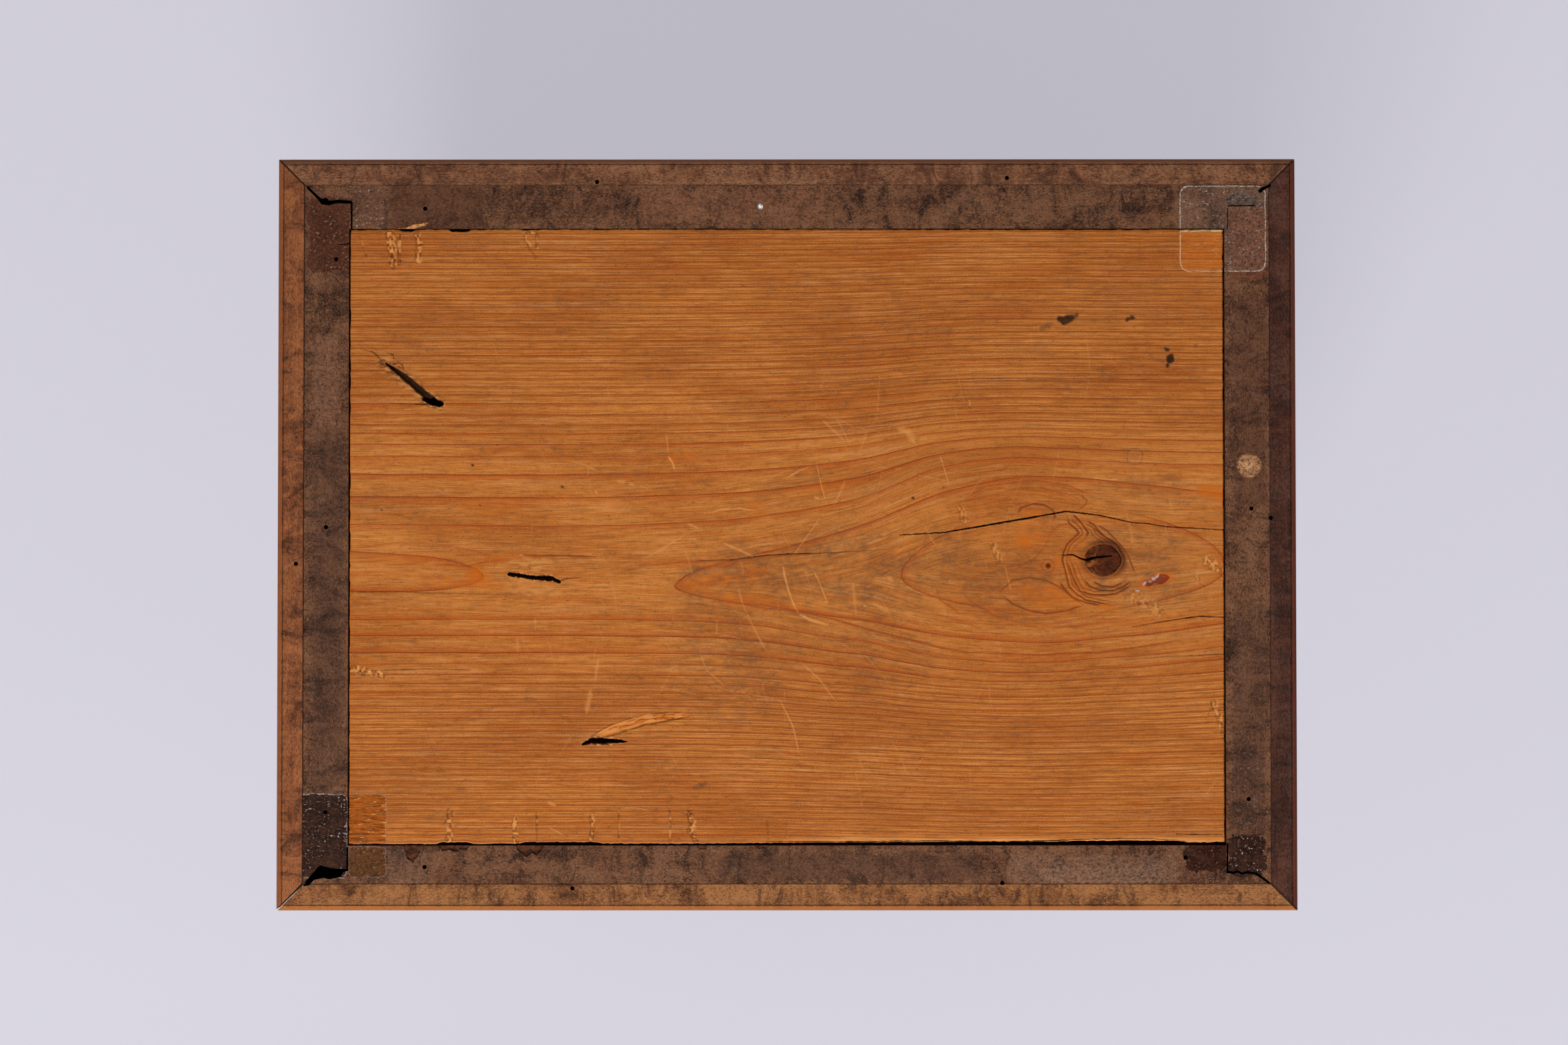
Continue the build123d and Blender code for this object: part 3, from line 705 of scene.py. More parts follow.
def panelMesh(wantedLevel, shapeOf):
    form = panelForm
    most = 2 ** form["levels"]
    wide, high = form["columns"] * most, form["rows"] * most
    stepX = (form["right"] - form["left"]) / wide
    stepY = (form["back"] - form["front"]) / high
    middles = np.meshgrid(form["left"] + stepX * (np.arange(wide) + 0.5),
                          form["front"] + stepY * (np.arange(high) + 0.5))
    u, v = toPhoto(*middles)
    wanted = wantedLevel(u.ravel(), v.ravel()).reshape(high, wide)

    def pooled(flags):
        rows, columns = flags.shape
        return flags.reshape(rows // 2, 2, columns // 2, 2).any((1, 3))

    def spread(flags):
        grown = np.pad(flags, 1)
        return grown[1:-1, 1:-1] | grown[:-2, 1:-1] | grown[2:, 1:-1] | grown[1:-1, :-2] | grown[1:-1, 2:]

    # split[k] says which cells of level k are cut in four, and no neighbour is more than one level coarser
    split = {}
    finer = None
    for level in range(form["levels"] - 1, -1, -1):
        flags = wanted >= level + 1
        for _ in range(form["levels"] - level):
            flags = pooled(flags)
        if finer is not None:
            flags |= pooled(spread(finer))
        split[level] = finer = flags

    corners = []
    for level in range(form["levels"] + 1):
        size = most >> level
        if level == 0:
            shown = np.ones((form["rows"], form["columns"]), bool)
        else:
            shown = np.repeat(np.repeat(split[level - 1], 2, 0), 2, 1)
        if level < form["levels"]:
            shown &= ~split[level]
        row, column = np.nonzero(shown)
        corners.append(np.stack([column * size, row * size, np.full(len(row), size)], 1))
    cells = np.concatenate(corners)
    x, y, size = cells.T
    half = size // 2
    used = np.zeros((high + 1, wide + 1), bool)
    for dx, dy in ((0, 0), (1, 0), (1, 1), (0, 1)):
        used[y + dy * size, x + dx * size] = True

    # Seen from below, the way round that faces down is 0,0 then 0,1 then 1,1 then 1,0
    none = 0 * size
    ring = [(none, none), (none, half), (none, size), (half, size),
            (size, size), (size, half), (size, none), (half, none)]
    rowOf = np.stack([y + b for a, b in ring], 1)
    columnOf = np.stack([x + a for a, b in ring], 1)
    keep = used[rowOf, columnOf]
    keep[:, 1::2] &= (size > 1)[:, None]
    number = np.full((high + 1, wide + 1), -1)
    rowUsed, columnUsed = np.nonzero(used)
    number[rowUsed, columnUsed] = np.arange(len(rowUsed))
    loops = number[rowOf, columnOf][keep]
    counts = keep.sum(1)
    xs = form["left"] + stepX * columnUsed
    ys = form["front"] + stepY * rowUsed
    u, v = toPhoto(xs, ys)
    shape = shapeOf(xs, ys, u, v)

    # The rim of the lower face, once round
    bottomRow = number[0, np.flatnonzero(used[0])]
    rightColumn = number[np.flatnonzero(used[:, wide]), wide]
    topRow = number[high, np.flatnonzero(used[high])][::-1]
    leftColumn = number[np.flatnonzero(used[:, 0]), 0][::-1]
    rim = np.concatenate([bottomRow[:-1], rightColumn[:-1], topRow[:-1], leftColumn[:-1]])
    count = len(xs)
    upperRim = count + np.arange(len(rim))
    wall = np.stack([rim, np.roll(rim, -1), np.roll(upperRim, -1), upperRim], 1)
    allLoops = np.concatenate([loops, wall.ravel(), upperRim])
    allCounts = np.concatenate([counts, np.full(len(rim), 4), [len(rim)]])
    points = np.stack([shape["x"], shape["y"], shape["z"]], 1)
    points = np.concatenate([points, np.stack([xs[rim], ys[rim], np.full(len(rim), form["top"])], 1)]) * mm

    mesh = bpy.data.meshes.new("bottom_panel_wood")
    mesh.vertices.add(len(points))
    mesh.vertices.foreach_set("co", points.astype(np.float32).ravel())
    mesh.loops.add(len(allLoops))
    mesh.loops.foreach_set("vertex_index", allLoops.astype(np.int32))
    mesh.polygons.add(len(allCounts))
    starts = np.concatenate([[0], np.cumsum(allCounts)[:-1]])
    mesh.polygons.foreach_set("loop_start", starts.astype(np.int32))
    mesh.update(calc_edges=True)
    mesh.validate()

    # The inside shows straight grain
    inside = {"ring": ys[rim] / form["insideSpacing"], "flow": ys[rim],
              "spacing": np.full(len(rim), form["insideSpacing"])}
    for name, values in inside.items():
        layer = mesh.attributes.new(name, "FLOAT", "POINT")
        layer.data.foreach_set("value", np.concatenate([shape[name], values]).astype(np.float32))
    for name in ("marks", "figure"):
        layer = mesh.attributes.new(name, "FLOAT_COLOR", "POINT")
        values = np.concatenate([shape[name], np.zeros((len(rim), 4))])
        layer.data.foreach_set("color", values.astype(np.float32).ravel())
    shadeByAngle(mesh, 45)
    print("bottom panel:", len(points), "points,", len(allCounts), "faces")
    return mesh


# Marks on the panel, in the photograph's pixels
# Cracks: depth in mm, half widths along the line, and the line
cracks = [
    (1.6, (.4, .8, 1.5, 1.8, 1.7, 1.4, .8, .6, .5, .45, .4), [(1350, 802.5), (1415, 799), (1460, 791.6),
     (1500, 784.4), (1550, 776), (1600, 767), (1650, 773), (1700, 784), (1720, 785), (1750, 790),
     (1840, 795)]),
    (.3, (.2, .35, .4, .3, .25), [(1260, 578), (1300, 575), (1415, 569), (1500, 567.5), (1840, 570.6)]),
    (.3, (.5, .45, .35, .2), [(528, 887.5), (600, 888), (700, 890.5), (790, 892.5)]),
    (.8, (.2, .6, .9, .7), [(1700, 940), (1760, 930), (1800, 924.5), (1840, 926)]),
    (.4, (.2, .45, .5), [(1690, 990), (1750, 985), (1840, 981)]),
    (.4, (.3, .5, .2), [(555, 1006), (640, 1003.5), (705, 1005)]),
    (.3, (.2, .5, .2), [(785, 832), (840, 833), (895, 835)]),
    (.4, (.2, .5, .9, .8, .4, .2), [(1050, 841), (1100, 839.5), (1150, 833), (1185, 830.5), (1230, 830),
     (1330, 824)]),
    (1.4, (.5, .9, 2.2, 3.4, 1.8, .8), [(1595, 833), (1610, 832), (1622, 838), (1630, 840), (1645, 836),
     (1668, 834)]),
    (.4, (.8, .5, .2), [(838, 872), (850, 868), (872, 866.5)]),
    (.4, (.3, .7, .5), [(540, 523), (560, 528), (574, 541)]),
    (.4, (.2, .6, .5), [(556, 546), (573, 546), (590, 552)]),
    (.4, (.3, .8, .4), [(580, 529), (590, 532), (591, 538)]),
    (.5, (.3, .9, .4), [(596, 541), (604, 548), (606, 556)]),
    (.4, (.2, .5, .4), [(582, 570), (596, 570), (608, 574)]),
    (.5, (.2, .6, 1.2), [(585, 605), (620, 606), (650, 607)]),
    (1.0, (.3, .8, .9, .9, 1.2), [(1150, 1262), (1250, 1263), (1400, 1262.5), (1500, 1264), (1600, 1262)]),
    (.6, (1.0, .7, .6, .3), [(1600, 1262), (1650, 1260), (1720, 1259), (1778, 1263)]),
    (.4, (.6, .9, .4), [(1765, 1251), (1800, 1252.5), (1835, 1252)]),
    (.4, (.3, .6, .6), [(1815, 1064), (1830, 1062), (1841, 1061)]),
]
# "uneven" says how the width varies, from so much and by so much more, "rim" how pale its edge is, and
# "dark" how dark its inside is painted, as painted shade
gouges = [
    {"line": [(579, 545), (600, 560), (615, 572), (630, 585), (645, 597), (657, 605)],
     "width": (1.2, 4, 5, 5.5, 6, 5), "deep": 1.2, "dark": 0.93, "uneven": (0.7, 0.55), "rim": 0.3},
    {"line": [(637, 599), (648, 603), (661, 606)],
     "width": (3, 5, 4), "deep": 3.0, "dark": 0.98, "uneven": (0.6, 1.0), "rim": 1},
    {"line": [(764, 861), (785, 864), (800, 866.5), (830, 868.5), (839, 873)],
     "width": (2.8, 3.2, 3, 3.6, 2), "deep": 2.2, "dark": 0.95, "uneven": (0.6, 1.0), "rim": 1},
    {"line": [(874, 1117), (888, 1111), (905, 1112), (925, 1112), (940, 1113)],
     "width": (1.5, 4.5, 4, 3, 0.8), "deep": 2.4, "dark": 0.95, "uneven": (0.6, 1.0), "rim": 1},
]
tornStrip = {"line": [(892, 1106), (910, 1099), (935, 1090), (965, 1081), (1000, 1076), (1042, 1072)],
             "at": (0, .2, .6, .85, 1), "width": (4, 8, 7.5, 4.5, 1.2)}
# Year lines drawn where the rings turn round the knot and in the two tongues left of it: strength,
# how dark, how many fainter echoes on its left side or, below 0, on its right, and the line
figureLines = [
    (.5, 0, 1, [(1445, 749), (1480, 729), (1550, 720), (1600, 727), (1640, 743)]),
    (.4, 0, 2, [(1452, 762), (1450, 750), (1495, 741), (1520, 733), (1560, 731), (1600, 740), (1630, 753)]),
    (.8, .25, 0, [(1525, 772), (1532, 761), (1552, 755), (1567, 757), (1580, 764), (1584, 775),
     (1580, 782)]),
    (.75, 0, 0, [(1503, 893), (1502, 885), (1520, 870), (1545, 866), (1570, 870), (1590, 880), (1612, 897),
     (1628, 908)]),
    (.95, .25, 0, [(1628, 908), (1600, 917), (1570, 921), (1545, 917), (1520, 907), (1503, 893)]),
    (.4, 0, 0, [(1442, 885), (1455, 900), (1490, 922), (1530, 933), (1570, 937), (1640, 925), (1673, 911)]),
    (.85, .5, -2, [(1600, 770), (1605, 785), (1616, 794), (1620, 800), (1610, 809), (1602, 817),
     (1597, 828), (1595, 840), (1600, 860), (1605, 880), (1615, 890), (1630, 900), (1655, 905),
     (1672, 908)]),
    (.8, .5, 0, [(1610, 771), (1620, 780), (1627, 790), (1634, 799), (1630, 806)]),
    (.8, .5, 2, [(1630, 780), (1642, 787), (1650, 797), (1665, 810), (1677, 817), (1682, 827),
     (1690, 840)]),
    (.6, .4, 0, [(1645, 786), (1662, 796), (1680, 815), (1692, 830), (1700, 850), (1705, 862)]),
    (.9, .5, -2, [(1600, 840), (1605, 850), (1610, 865), (1615, 876), (1622, 887), (1640, 892),
     (1660, 892), (1675, 890), (1690, 882), (1700, 875)]),
    (.8, .5, 0, [(1627, 868), (1635, 879), (1650, 885), (1670, 886), (1685, 881), (1697, 871)]),
    (.7, .45, 0, [(1640, 872), (1655, 879), (1670, 880), (1685, 874)]),
    (.8, .45, 0, [(1590, 872), (1597, 882), (1610, 896), (1630, 904), (1655, 908)]),
    (.5, 0, 0, [(1570, 807), (1580, 795), (1590, 787), (1605, 785)]),
    (.45, 0, 0, [(1510, 850), (1530, 847), (1550, 840), (1565, 822), (1575, 806)]),
    (.35, 0, 0, [(1530, 851), (1550, 852), (1565, 860), (1585, 868)]),
    (.45, 0, 0, [(1010, 882), (1050, 875), (1090, 868), (1120, 865), (1155, 859)]),
    (.4, 0, 0, [(1050, 847), (1085, 850), (1118, 852), (1126, 860), (1150, 858)]),
    (.6, 0, 0, [(1010, 882), (1040, 893), (1080, 900), (1150, 912), (1200, 917), (1250, 928), (1300, 943),
     (1350, 955), (1415, 972), (1450, 978), (1550, 982), (1650, 978), (1700, 972), (1800, 955)]),
    (.6, 0, 0, [(965, 848), (1050, 841), (1100, 839), (1150, 833), (1230, 830)]),
    (.35, 0, 0, [(530, 822), (600, 813), (650, 815), (700, 823), (745, 835)]),
    (.55, 0, 0, [(650, 845), (700, 849), (735, 841), (770, 839), (785, 834), (850, 833), (900, 836)]),
    (.3, 0, 0, [(1300, 880), (1370, 905), (1420, 925), (1480, 945)]),
    (.45, 0, 0, [(1405, 880), (1412, 900), (1440, 918)]),
    (.6, 0, 0, [(1622, 743), (1632, 750), (1630, 757), (1620, 764)]),
    (.7, .4, 0, [(1640, 790), (1655, 803), (1672, 812), (1684, 824)]),
    (.3, 0, 0, [(1560, 715), (1600, 716), (1650, 722), (1720, 722), (1790, 716)]),
    (.35, 0, 0, [(1470, 905), (1500, 928), (1560, 942), (1640, 936), (1690, 922)]),
    (.3, 0, 0, [(1440, 880), (1470, 862), (1500, 855)]),
]
# Places where the wood is more orange: x, y, half length, half height, turn in degrees, strength
resinSpots = [
    (1062, 872, 60, 13, -8, .6), (1135, 857, 30, 9, -10, .6), (716, 868, 22, 20, 20, .6),
    (690, 876, 80, 9, 5, .4), (1120, 900, 90, 10, 8, .35), (1050, 846, 60, 8, 0, .35),
    (760, 838, 60, 8, -5, .3), (1537, 812, 13, 12, -40, .8), (1556, 770, 26, 12, 5, .45),
    (1566, 895, 58, 22, 8, .42), (1586, 846, 6, 18, 5, .6), (1552, 795, 34, 30, -35, .3),
    (1620, 850, 30, 50, 0, .2), (1660, 911, 17, 5, 12, .6), (1820, 738, 30, 12, 20, .65),
    (1837, 745, 12, 16, 0, .55), (1009, 690, 14, 10, -10, .35), (1035, 685, 22, 4, 0, .45),
    (1245, 730, 60, 5, -8, .3), (1135, 764, 18, 14, 0, .3), (740, 760, 60, 14, 0, .25),
    (1736, 871, 32, 13, -14, 1.0), (1653, 840, 37, 30, 0, .45), (600, 848, 70, 20, 0, .15),
    (1573, 849, 11, 10, 0, .5),
]
# Brown-grey grime: x, y, half length, half height, turn, strength
grimeSpots = [
    (1599, 479, 18, 9, -20, .95), (1570, 490, 14, 5, -25, .7), (1695, 478, 8, 5, 0, .8),
    (1750, 523, 6, 5, 0, .8), (1757, 537, 6, 9, 20, 1.0), (1752, 548, 4, 4, 0, .9),
    (1795, 518, 5, 4, 0, .7), (1560, 522, 26, 20, -20, .45), (1635, 420, 16, 6, -10, .4),
    (1690, 400, 8, 5, 0, .45), (1479, 555, 7, 14, 0, .5), (1475, 600, 6, 8, 0, .5),
    (1703, 685, 15, 10, 0, .5), (706, 537, 10, 5, 0, .5), (872, 554, 20, 4, 0, .4),
    (832, 575, 16, 3, 0, .4), (665, 645, 60, 13, 0, .38), (1030, 658, 24, 4, 0, .6),
    (1145, 1120, 45, 30, 0, .35), (1053, 1178, 16, 5, -25, .75), (709, 698, 3, 3, 0, .9),
    (573, 765, 3, 3, 0, .9), (843, 730, 4, 5, 60, .9), (720, 758, 3, 3, 0, .8), (1370, 748, 5, 3, 0, .9),
    (600, 470, 60, 30, 0, .25), (900, 450, 150, 26, 0, .32), (1250, 420, 160, 30, 0, .26),
    (1650, 455, 140, 50, 0, .28), (1350, 500, 150, 30, 0, .22), (800, 400, 120, 24, 0, .18),
    (1730, 390, 60, 40, 0, .22), (1170, 820, 60, 20, -10, .28), (1300, 890, 70, 26, 15, .3),
    (1420, 820, 60, 36, 0, .2), (1250, 1100, 90, 40, 0, .14), (745, 1210, 110, 14, 0, .28),
    (660, 1225, 60, 22, 0, .3), (705, 1181, 26, 9, 0, .5), (560, 640, 60, 40, 0, .2),
    (590, 700, 70, 20, 0, .22), (1700, 960, 90, 30, 0, .2), (1790, 880, 40, 40, 0, .22),
    (540, 960, 30, 30, 0, .25), (1825, 1190, 14, 24, 0, .3), (1460, 1195, 40, 5, 0, .3),
    (1000, 1050, 90, 24, 0, .12), (985, 560, 140, 12, 0, .18), (1500, 630, 200, 24, 0, .16),
    (1760, 640, 80, 50, 0, .2), (640, 900, 100, 22, 0, .16), (1715, 905, 50, 30, 0, .25),
    (1180, 860, 260, 70, 0, .55), (1260, 960, 300, 46, 8, .42), (1500, 840, 260, 90, 0, .48),
    (1720, 850, 130, 80, 0, .55), (1660, 850, 70, 60, 0, .5), (1330, 860, 200, 90, 0, .6),
    (1120, 990, 230, 120, 0, .6), (1720, 735, 140, 40, 0, .35), (1560, 790, 50, 30, -30, .45),
    (560, 740, 60, 60, 0, .3), (1170, 730, 90, 40, 0, .3), (1080, 1060, 130, 40, 0, .3),
    (1790, 370, 80, 30, 0, .2), (800, 830, 160, 30, 0, .2), (1335, 655, 40, 20, 0, .12),
    (965, 800, 60, 20, 0, .14), (610, 1060, 70, 30, 0, .15),
]
# Scratches that show paler wood: points, half width, strength
scratches = [
    ([(1175, 848), (1178, 866), (1183, 885), (1190, 905), (1197, 918)], 1.6, .95),
    ([(1200, 922), (1215, 930), (1243, 938)], 2.2, .9),
    ([(1220, 855), (1228, 870), (1237, 893), (1241, 902)], 1.0, .9), ([(1237, 904), (1243, 903)], 1.2, .8),
    ([(1107, 880), (1114, 905), (1120, 920)], .9, .55), ([(1120, 920), (1135, 950), (1150, 977)], 1.4, .5),
    ([(1075, 925), (1076, 953), (1100, 955), (1118, 962)], .9, .45),
    ([(1110, 925), (1150, 930), (1190, 940)], 1.0, .5),
    ([(1200, 992), (1230, 1020), (1256, 1055)], 1.1, .6),
    ([(1170, 1050), (1190, 1090), (1199, 1130)], 1.4, .55),
    ([(1050, 980), (1060, 1005), (1088, 1030)], 1.2, .5), ([(985, 1030), (1050, 1043)], .9, .45),
    ([(1090, 1035), (1165, 1049)], .9, .45), ([(1280, 875), (1282, 900), (1285, 925)], 2.2, .35),
    ([(1310, 905), (1335, 920)], 3.0, .35), ([(1332, 866), (1340, 872)], 4.0, .5),
    ([(1350, 995), (1390, 1001)], .9, .55), ([(1085, 815), (1105, 823), (1130, 835)], 1.7, .75),
    ([(965, 840), (990, 826), (1032, 800)], .9, .65), ([(1000, 650), (1003, 680)], .8, .7),
    ([(1003, 685), (1009, 694), (1013, 706)], 2.0, .95), ([(1320, 565), (1318, 600), (1315, 630)], .7, .45),
    ([(1315, 630), (1300, 650), (1290, 680)], 1.2, .35), ([(1268, 722), (1258, 745), (1251, 757)], 2.2, .5),
    ([(1232, 628), (1250, 645), (1268, 662)], 1.9, .45), ([(1225, 695), (1233, 730), (1240, 755)], .8, .7),
    ([(1236, 770), (1218, 795), (1186, 840)], .9, .55),
    ([(1062, 771), (1080, 765), (1110, 763), (1135, 766)], 1.0, .9),
    ([(1215, 810), (1240, 798), (1275, 785), (1312, 774)], 1.0, .5), ([(1280, 808), (1330, 802)], .8, .5),
    ([(1180, 718), (1200, 706), (1216, 700)], 1.2, .8),
    ([(1090, 714), (1130, 718), (1160, 714), (1190, 704)], .8, .55),
    ([(1410, 682), (1416, 700), (1424, 727)], .8, .75), ([(1372, 712), (1420, 721)], .9, .45),
    ([(1387, 788), (1396, 805), (1405, 820)], .7, .6), ([(1030, 808), (1045, 809)], 1.8, .55),
    ([(1032, 786), (1048, 793)], 2.4, .6), ([(1089, 733), (1099, 731)], 1.6, .6),
    ([(1222, 746), (1229, 748)], 1.5, .9), ([(850, 690), (875, 697), (900, 708)], 1.2, .45),
    ([(926, 722), (938, 723)], 4.0, .5), ([(944, 726), (953, 728)], 3.2, .55),
    ([(893, 736), (896, 741)], 1.5, .8), ([(898, 988), (895, 1005), (893, 1022)], 2.0, .5),
    ([(886, 1036), (884, 1052), (880, 1070)], 4.5, .5), ([(776, 957), (777, 970), (776, 980)], 2.0, .45),
    ([(803, 928), (803, 945)], 1.6, .4), ([(1628, 500), (1633, 530), (1636, 560), (1628, 600)], .9, .3),
    ([(1590, 670), (1586, 695), (1580, 720)], .8, .35),
    ([(1808, 1197), (1816, 1184), (1825, 1172)], .7, .6),
    ([(1347, 643), (1362, 648), (1372, 664)], 6.0, .55), ([(1380, 660), (1392, 658)], 4.0, .35),
    ([(1447, 605), (1440, 575), (1436, 555)], .8, .3), ([(1170, 880), (1166, 940)], 1.0, .2),
    ([(1296, 908), (1300, 910)], 1.3, 1.0), ([(1240, 620), (1280, 640), (1330, 650)], .9, .25),
    ([(1508, 850), (1512, 865), (1517, 886)], .9, .6), ([(1100, 1130), (1140, 1142)], .8, .5),
    ([(935, 1212), (960, 1213), (975, 1217)], 1.0, .6), ([(822, 1204), (834, 1209)], 2.0, .7),
    ([(1250, 620), (1262, 640), (1276, 668)], 1.2, .4), ([(820, 1240), (836, 1248), (846, 1254)], 1.0, .6),
    ([(640, 591), (652, 595), (660, 600)], 1.8, .8), ([(803, 1180), (808, 1165), (810, 1150)], 1.0, .3),
    ([(1755, 750), (1760, 770)], 1.5, .25), ([(1690, 770), (1698, 800), (1700, 818)], 2.5, .25),
    ([(1697, 814), (1714, 811)], 1.4, .5), ([(1749, 784), (1750, 800)], 1.3, .45),
    ([(1535, 715), (1515, 760), (1505, 800)], .8, .25), ([(1095, 620), (1085, 690), (1080, 715)], .8, .25),
    ([(735, 500), (742, 520), (748, 545)], 1.0, .2), ([(1130, 640), (1112, 680)], .8, .3),
    ([(600, 905), (640, 912), (700, 910)], 1.2, .2), ([(655, 940), (720, 946)], 1.0, .25),
    ([(1240, 955), (1300, 985), (1330, 1020)], .8, .3),
]
chance = np.random.RandomState(11)
for _ in range(90):
    u, v, long = chance.uniform(780, 1500), chance.uniform(560, 1170), chance.uniform(12, 60)
    turn = math.radians(chance.choice((-65, 60, 10, 80)) + chance.uniform(-15, 15))
    across, down, bow = long * math.cos(turn), long * math.sin(turn), chance.uniform(-3, 3)
    scratches.append(([(u, v), (u + across / 2 + bow, v + down / 2), (u + across, v + down)],
                      chance.uniform(.5, .9), chance.uniform(.15, .4)))
# Chop marks and torn nail tracks along the long edges: points, half width, depth
chops = [
    ([(583, 349), (588, 372), (590, 397)], 5.5, .4), ([(600, 352), (599, 375), (600, 395)], 2.4, .3),
    ([(627, 350), (628, 372), (628, 390)], 4.4, .35), ([(786, 348), (794, 368), (804, 384)], 2.6, .3),
    ([(806, 347), (806, 372)], 2.4, .3), ([(790, 346), (806, 349)], 3, .3),
    ([(540, 355), (550, 385)], 1.2, .2), ([(676, 1219), (674, 1236), (675, 1264)], 4.5, .4),
    ([(773, 1228), (772, 1247), (775, 1264)], 3.4, .35), ([(806, 1219), (806, 1264)], 1.3, .25),
    ([(888, 1225), (889, 1245), (887, 1264)], 3.4, .35), ([(929, 1214), (929, 1262)], 1.3, .25),
    ([(1005, 1212), (1006, 1240), (1005, 1262)], 1.5, .25),
    ([(1035, 1218), (1040, 1235), (1036, 1245), (1046, 1262)], 4.2, .4),
    ([(1152, 1232), (1153, 1257)], .9, .2), ([(1181, 1232), (1181, 1257)], .9, .2),
    ([(528, 1003), (548, 1008), (574, 1012)], 5.0, .35), ([(1812, 842), (1825, 850), (1840, 858)], 7.0, .3),
    ([(1822, 1055), (1832, 1080), (1838, 1105)], 5.0, .25),
    ([(1700, 898), (1720, 905), (1742, 918)], 9.0, .18), ([(1440, 760), (1447, 780)], 5.0, .2),
    ([(1490, 815), (1500, 838)], 5.0, .2), ([(1455, 595), (1456, 610)], 2.0, .2),
    ([(1795, 860), (1805, 875)], 4.0, .15),
]
# Thin scribed curves, pricked rather than drawn
prickedLines = [
    [(747, 1004), (735, 1020), (728, 1040), (700, 1068), (675, 1088), (657, 1112), (652, 1135)],
    [(612, 1008), (622, 1045), (640, 1098), (655, 1145), (685, 1185)],
    [(840, 1040), (815, 1070), (790, 1097)],
    [(1691, 1004), (1668, 1040), (1640, 1075), (1600, 1103), (1550, 1132), (1520, 1145)],
    [(1818, 1050), (1807, 1100)],
]
# The long edges: x, and how far they stand back in pixels. The lower one has split, and its sliver leans
# out over the gap.
lowerEdge = [
    (524, -2), (655, -2), (662, .5), (700, .5), (708, -1.8), (780, -1.6), (788, .8), (896, .8), (904, -1.5),
    (1040, -1.4), (1150, -.6), (1300, .2), (1400, 1), (1480, 1), (1560, 1), (1600, 2), (1640, 2.6),
    (1700, 3), (1760, 2.6), (1776, 2), (1785, 0), (1800, 0), (1825, 1), (1842, 1),
]
upperEdge = [
    (527, 1.8), (560, 1.2), (596, 1.2), (604, 3), (618, 3.5), (624, 1.2), (673, 1.2), (678, 4), (702, 4),
    (707, 1.2), (780, 1), (786, 2), (806, 2), (812, 1), (1000, 1), (1400, 1.3), (1770, 1.5), (1842, 1.5),
]
crackLook = {"least": 0.75, "faintest": 0.25}
knot = {"u": 1655, "v": 841, "halfLength": 28.5, "halfHeight": 25, "rise": 0.05, "moat": 0.2}
pinKnot = {"u": 1573, "v": 849, "heart": 5.5, "ring": 9.5, "hole": 3.0}
quietOval = {"u": 1590, "v": 835, "halfLength": 160, "halfHeight": 105}    # only the drawn rings here
resinPocket = {"crystals": [(1706, 886), (1718, 875), (1740, 863)], "hollow": (1737, 871, 17, 6.5, -14),
               "rim": (1737, 871, 19, 8, -14), "deep": 0.2}
padStain = {"left": 1771, "right": 1899, "top": 279, "bottom": 407, "corner": 14}
glueSquare = {"left": 450, "right": 578, "top": 1193, "bottom": 1316, "corner": 12}
glueHalo = {"left": 440, "right": 640, "top": 1165, "bottom": 1340, "corner": 40}
# Torn and scraped wood round the gouges: x, y, half length, half height, turn, strength
tornSpots = [
    (800, 845, 42, 14, 0, .75), (806, 886, 38, 14, 0, .55), (780, 872, 30, 20, 0, .4),
    (610, 560, 30, 22, 40, .35), (930, 1098, 60, 14, -15, .4), (1716, 908, 36, 16, 10, .35),
]
# More places where the mesh is fine: line, how far round it, level
finePlaces = [
    (tornStrip["line"], 9, 3), ([(772, 850), (830, 850)], 7, 3),
    ([(566, 536), (606, 550), (655, 592)], 7, 3),
    ([(1600, 790), (1653, 840), (1700, 890)], 45, 2), ([(1715, 872), (1755, 866)], 12, 3),
    ([(1565, 849), (1581, 849)], 7, 3),
    ([(1655, 814), (1688, 824), (1690, 850), (1668, 872), (1634, 866), (1622, 840), (1632, 818),
      (1655, 814)], 8, 3),
    ([(1840, 345), (1840, 1266)], 3, 2), ([(524, 1266), (1842, 1262)], 4, 2),
    ([(524, 347), (1842, 345)], 4, 2),
]
grimeLook = {"sharp": 0.6, "deep": 0.8}    # from what strength a spot is sharp, and cut in
print("figure read")


# How finely the mesh is divided at each point: 0, or up to 3 where marks are narrow
def wantedLevel(u, v):
    level = np.zeros(len(u), np.int8)

    def ask(line, margin, wanted):
        near, *_ = nearLine(u, v, line, margin)
        level[near] = np.maximum(level[near], wanted)

    for _, widths, line in cracks:
        ask(line, max(widths) + 2.0, 3)
    for gouge in gouges:
        ask(gouge["line"], max(gouge["width"]) * 1.8, 3)
        ask(gouge["line"], max(gouge["width"]) * 4, 2)
    for strength, _, echoes, line in figureLines:
        ask(line, 2.5 + 5 * abs(echoes), 3 if strength > .6 and line[0][0] > 1480 else 2)
    for line, half, strength in scratches:
        ask(line, half + 1.2, 3 if half < 1.5 and strength > .5 else 2)
    for line, half, _ in chops:
        ask(line, half + 2, 3 if half > 3.3 else 2)
    for line in prickedLines:
        ask(line, 1.5, 2)
    for cu, cv, halfLength, halfHeight, _, strength in grimeSpots:
        if strength > grimeLook["sharp"]:
            ask([(cu - halfLength, cv), (cu + halfLength, cv)], halfHeight + 3, 2)
    for place in finePlaces:
        ask(*place)
    return level


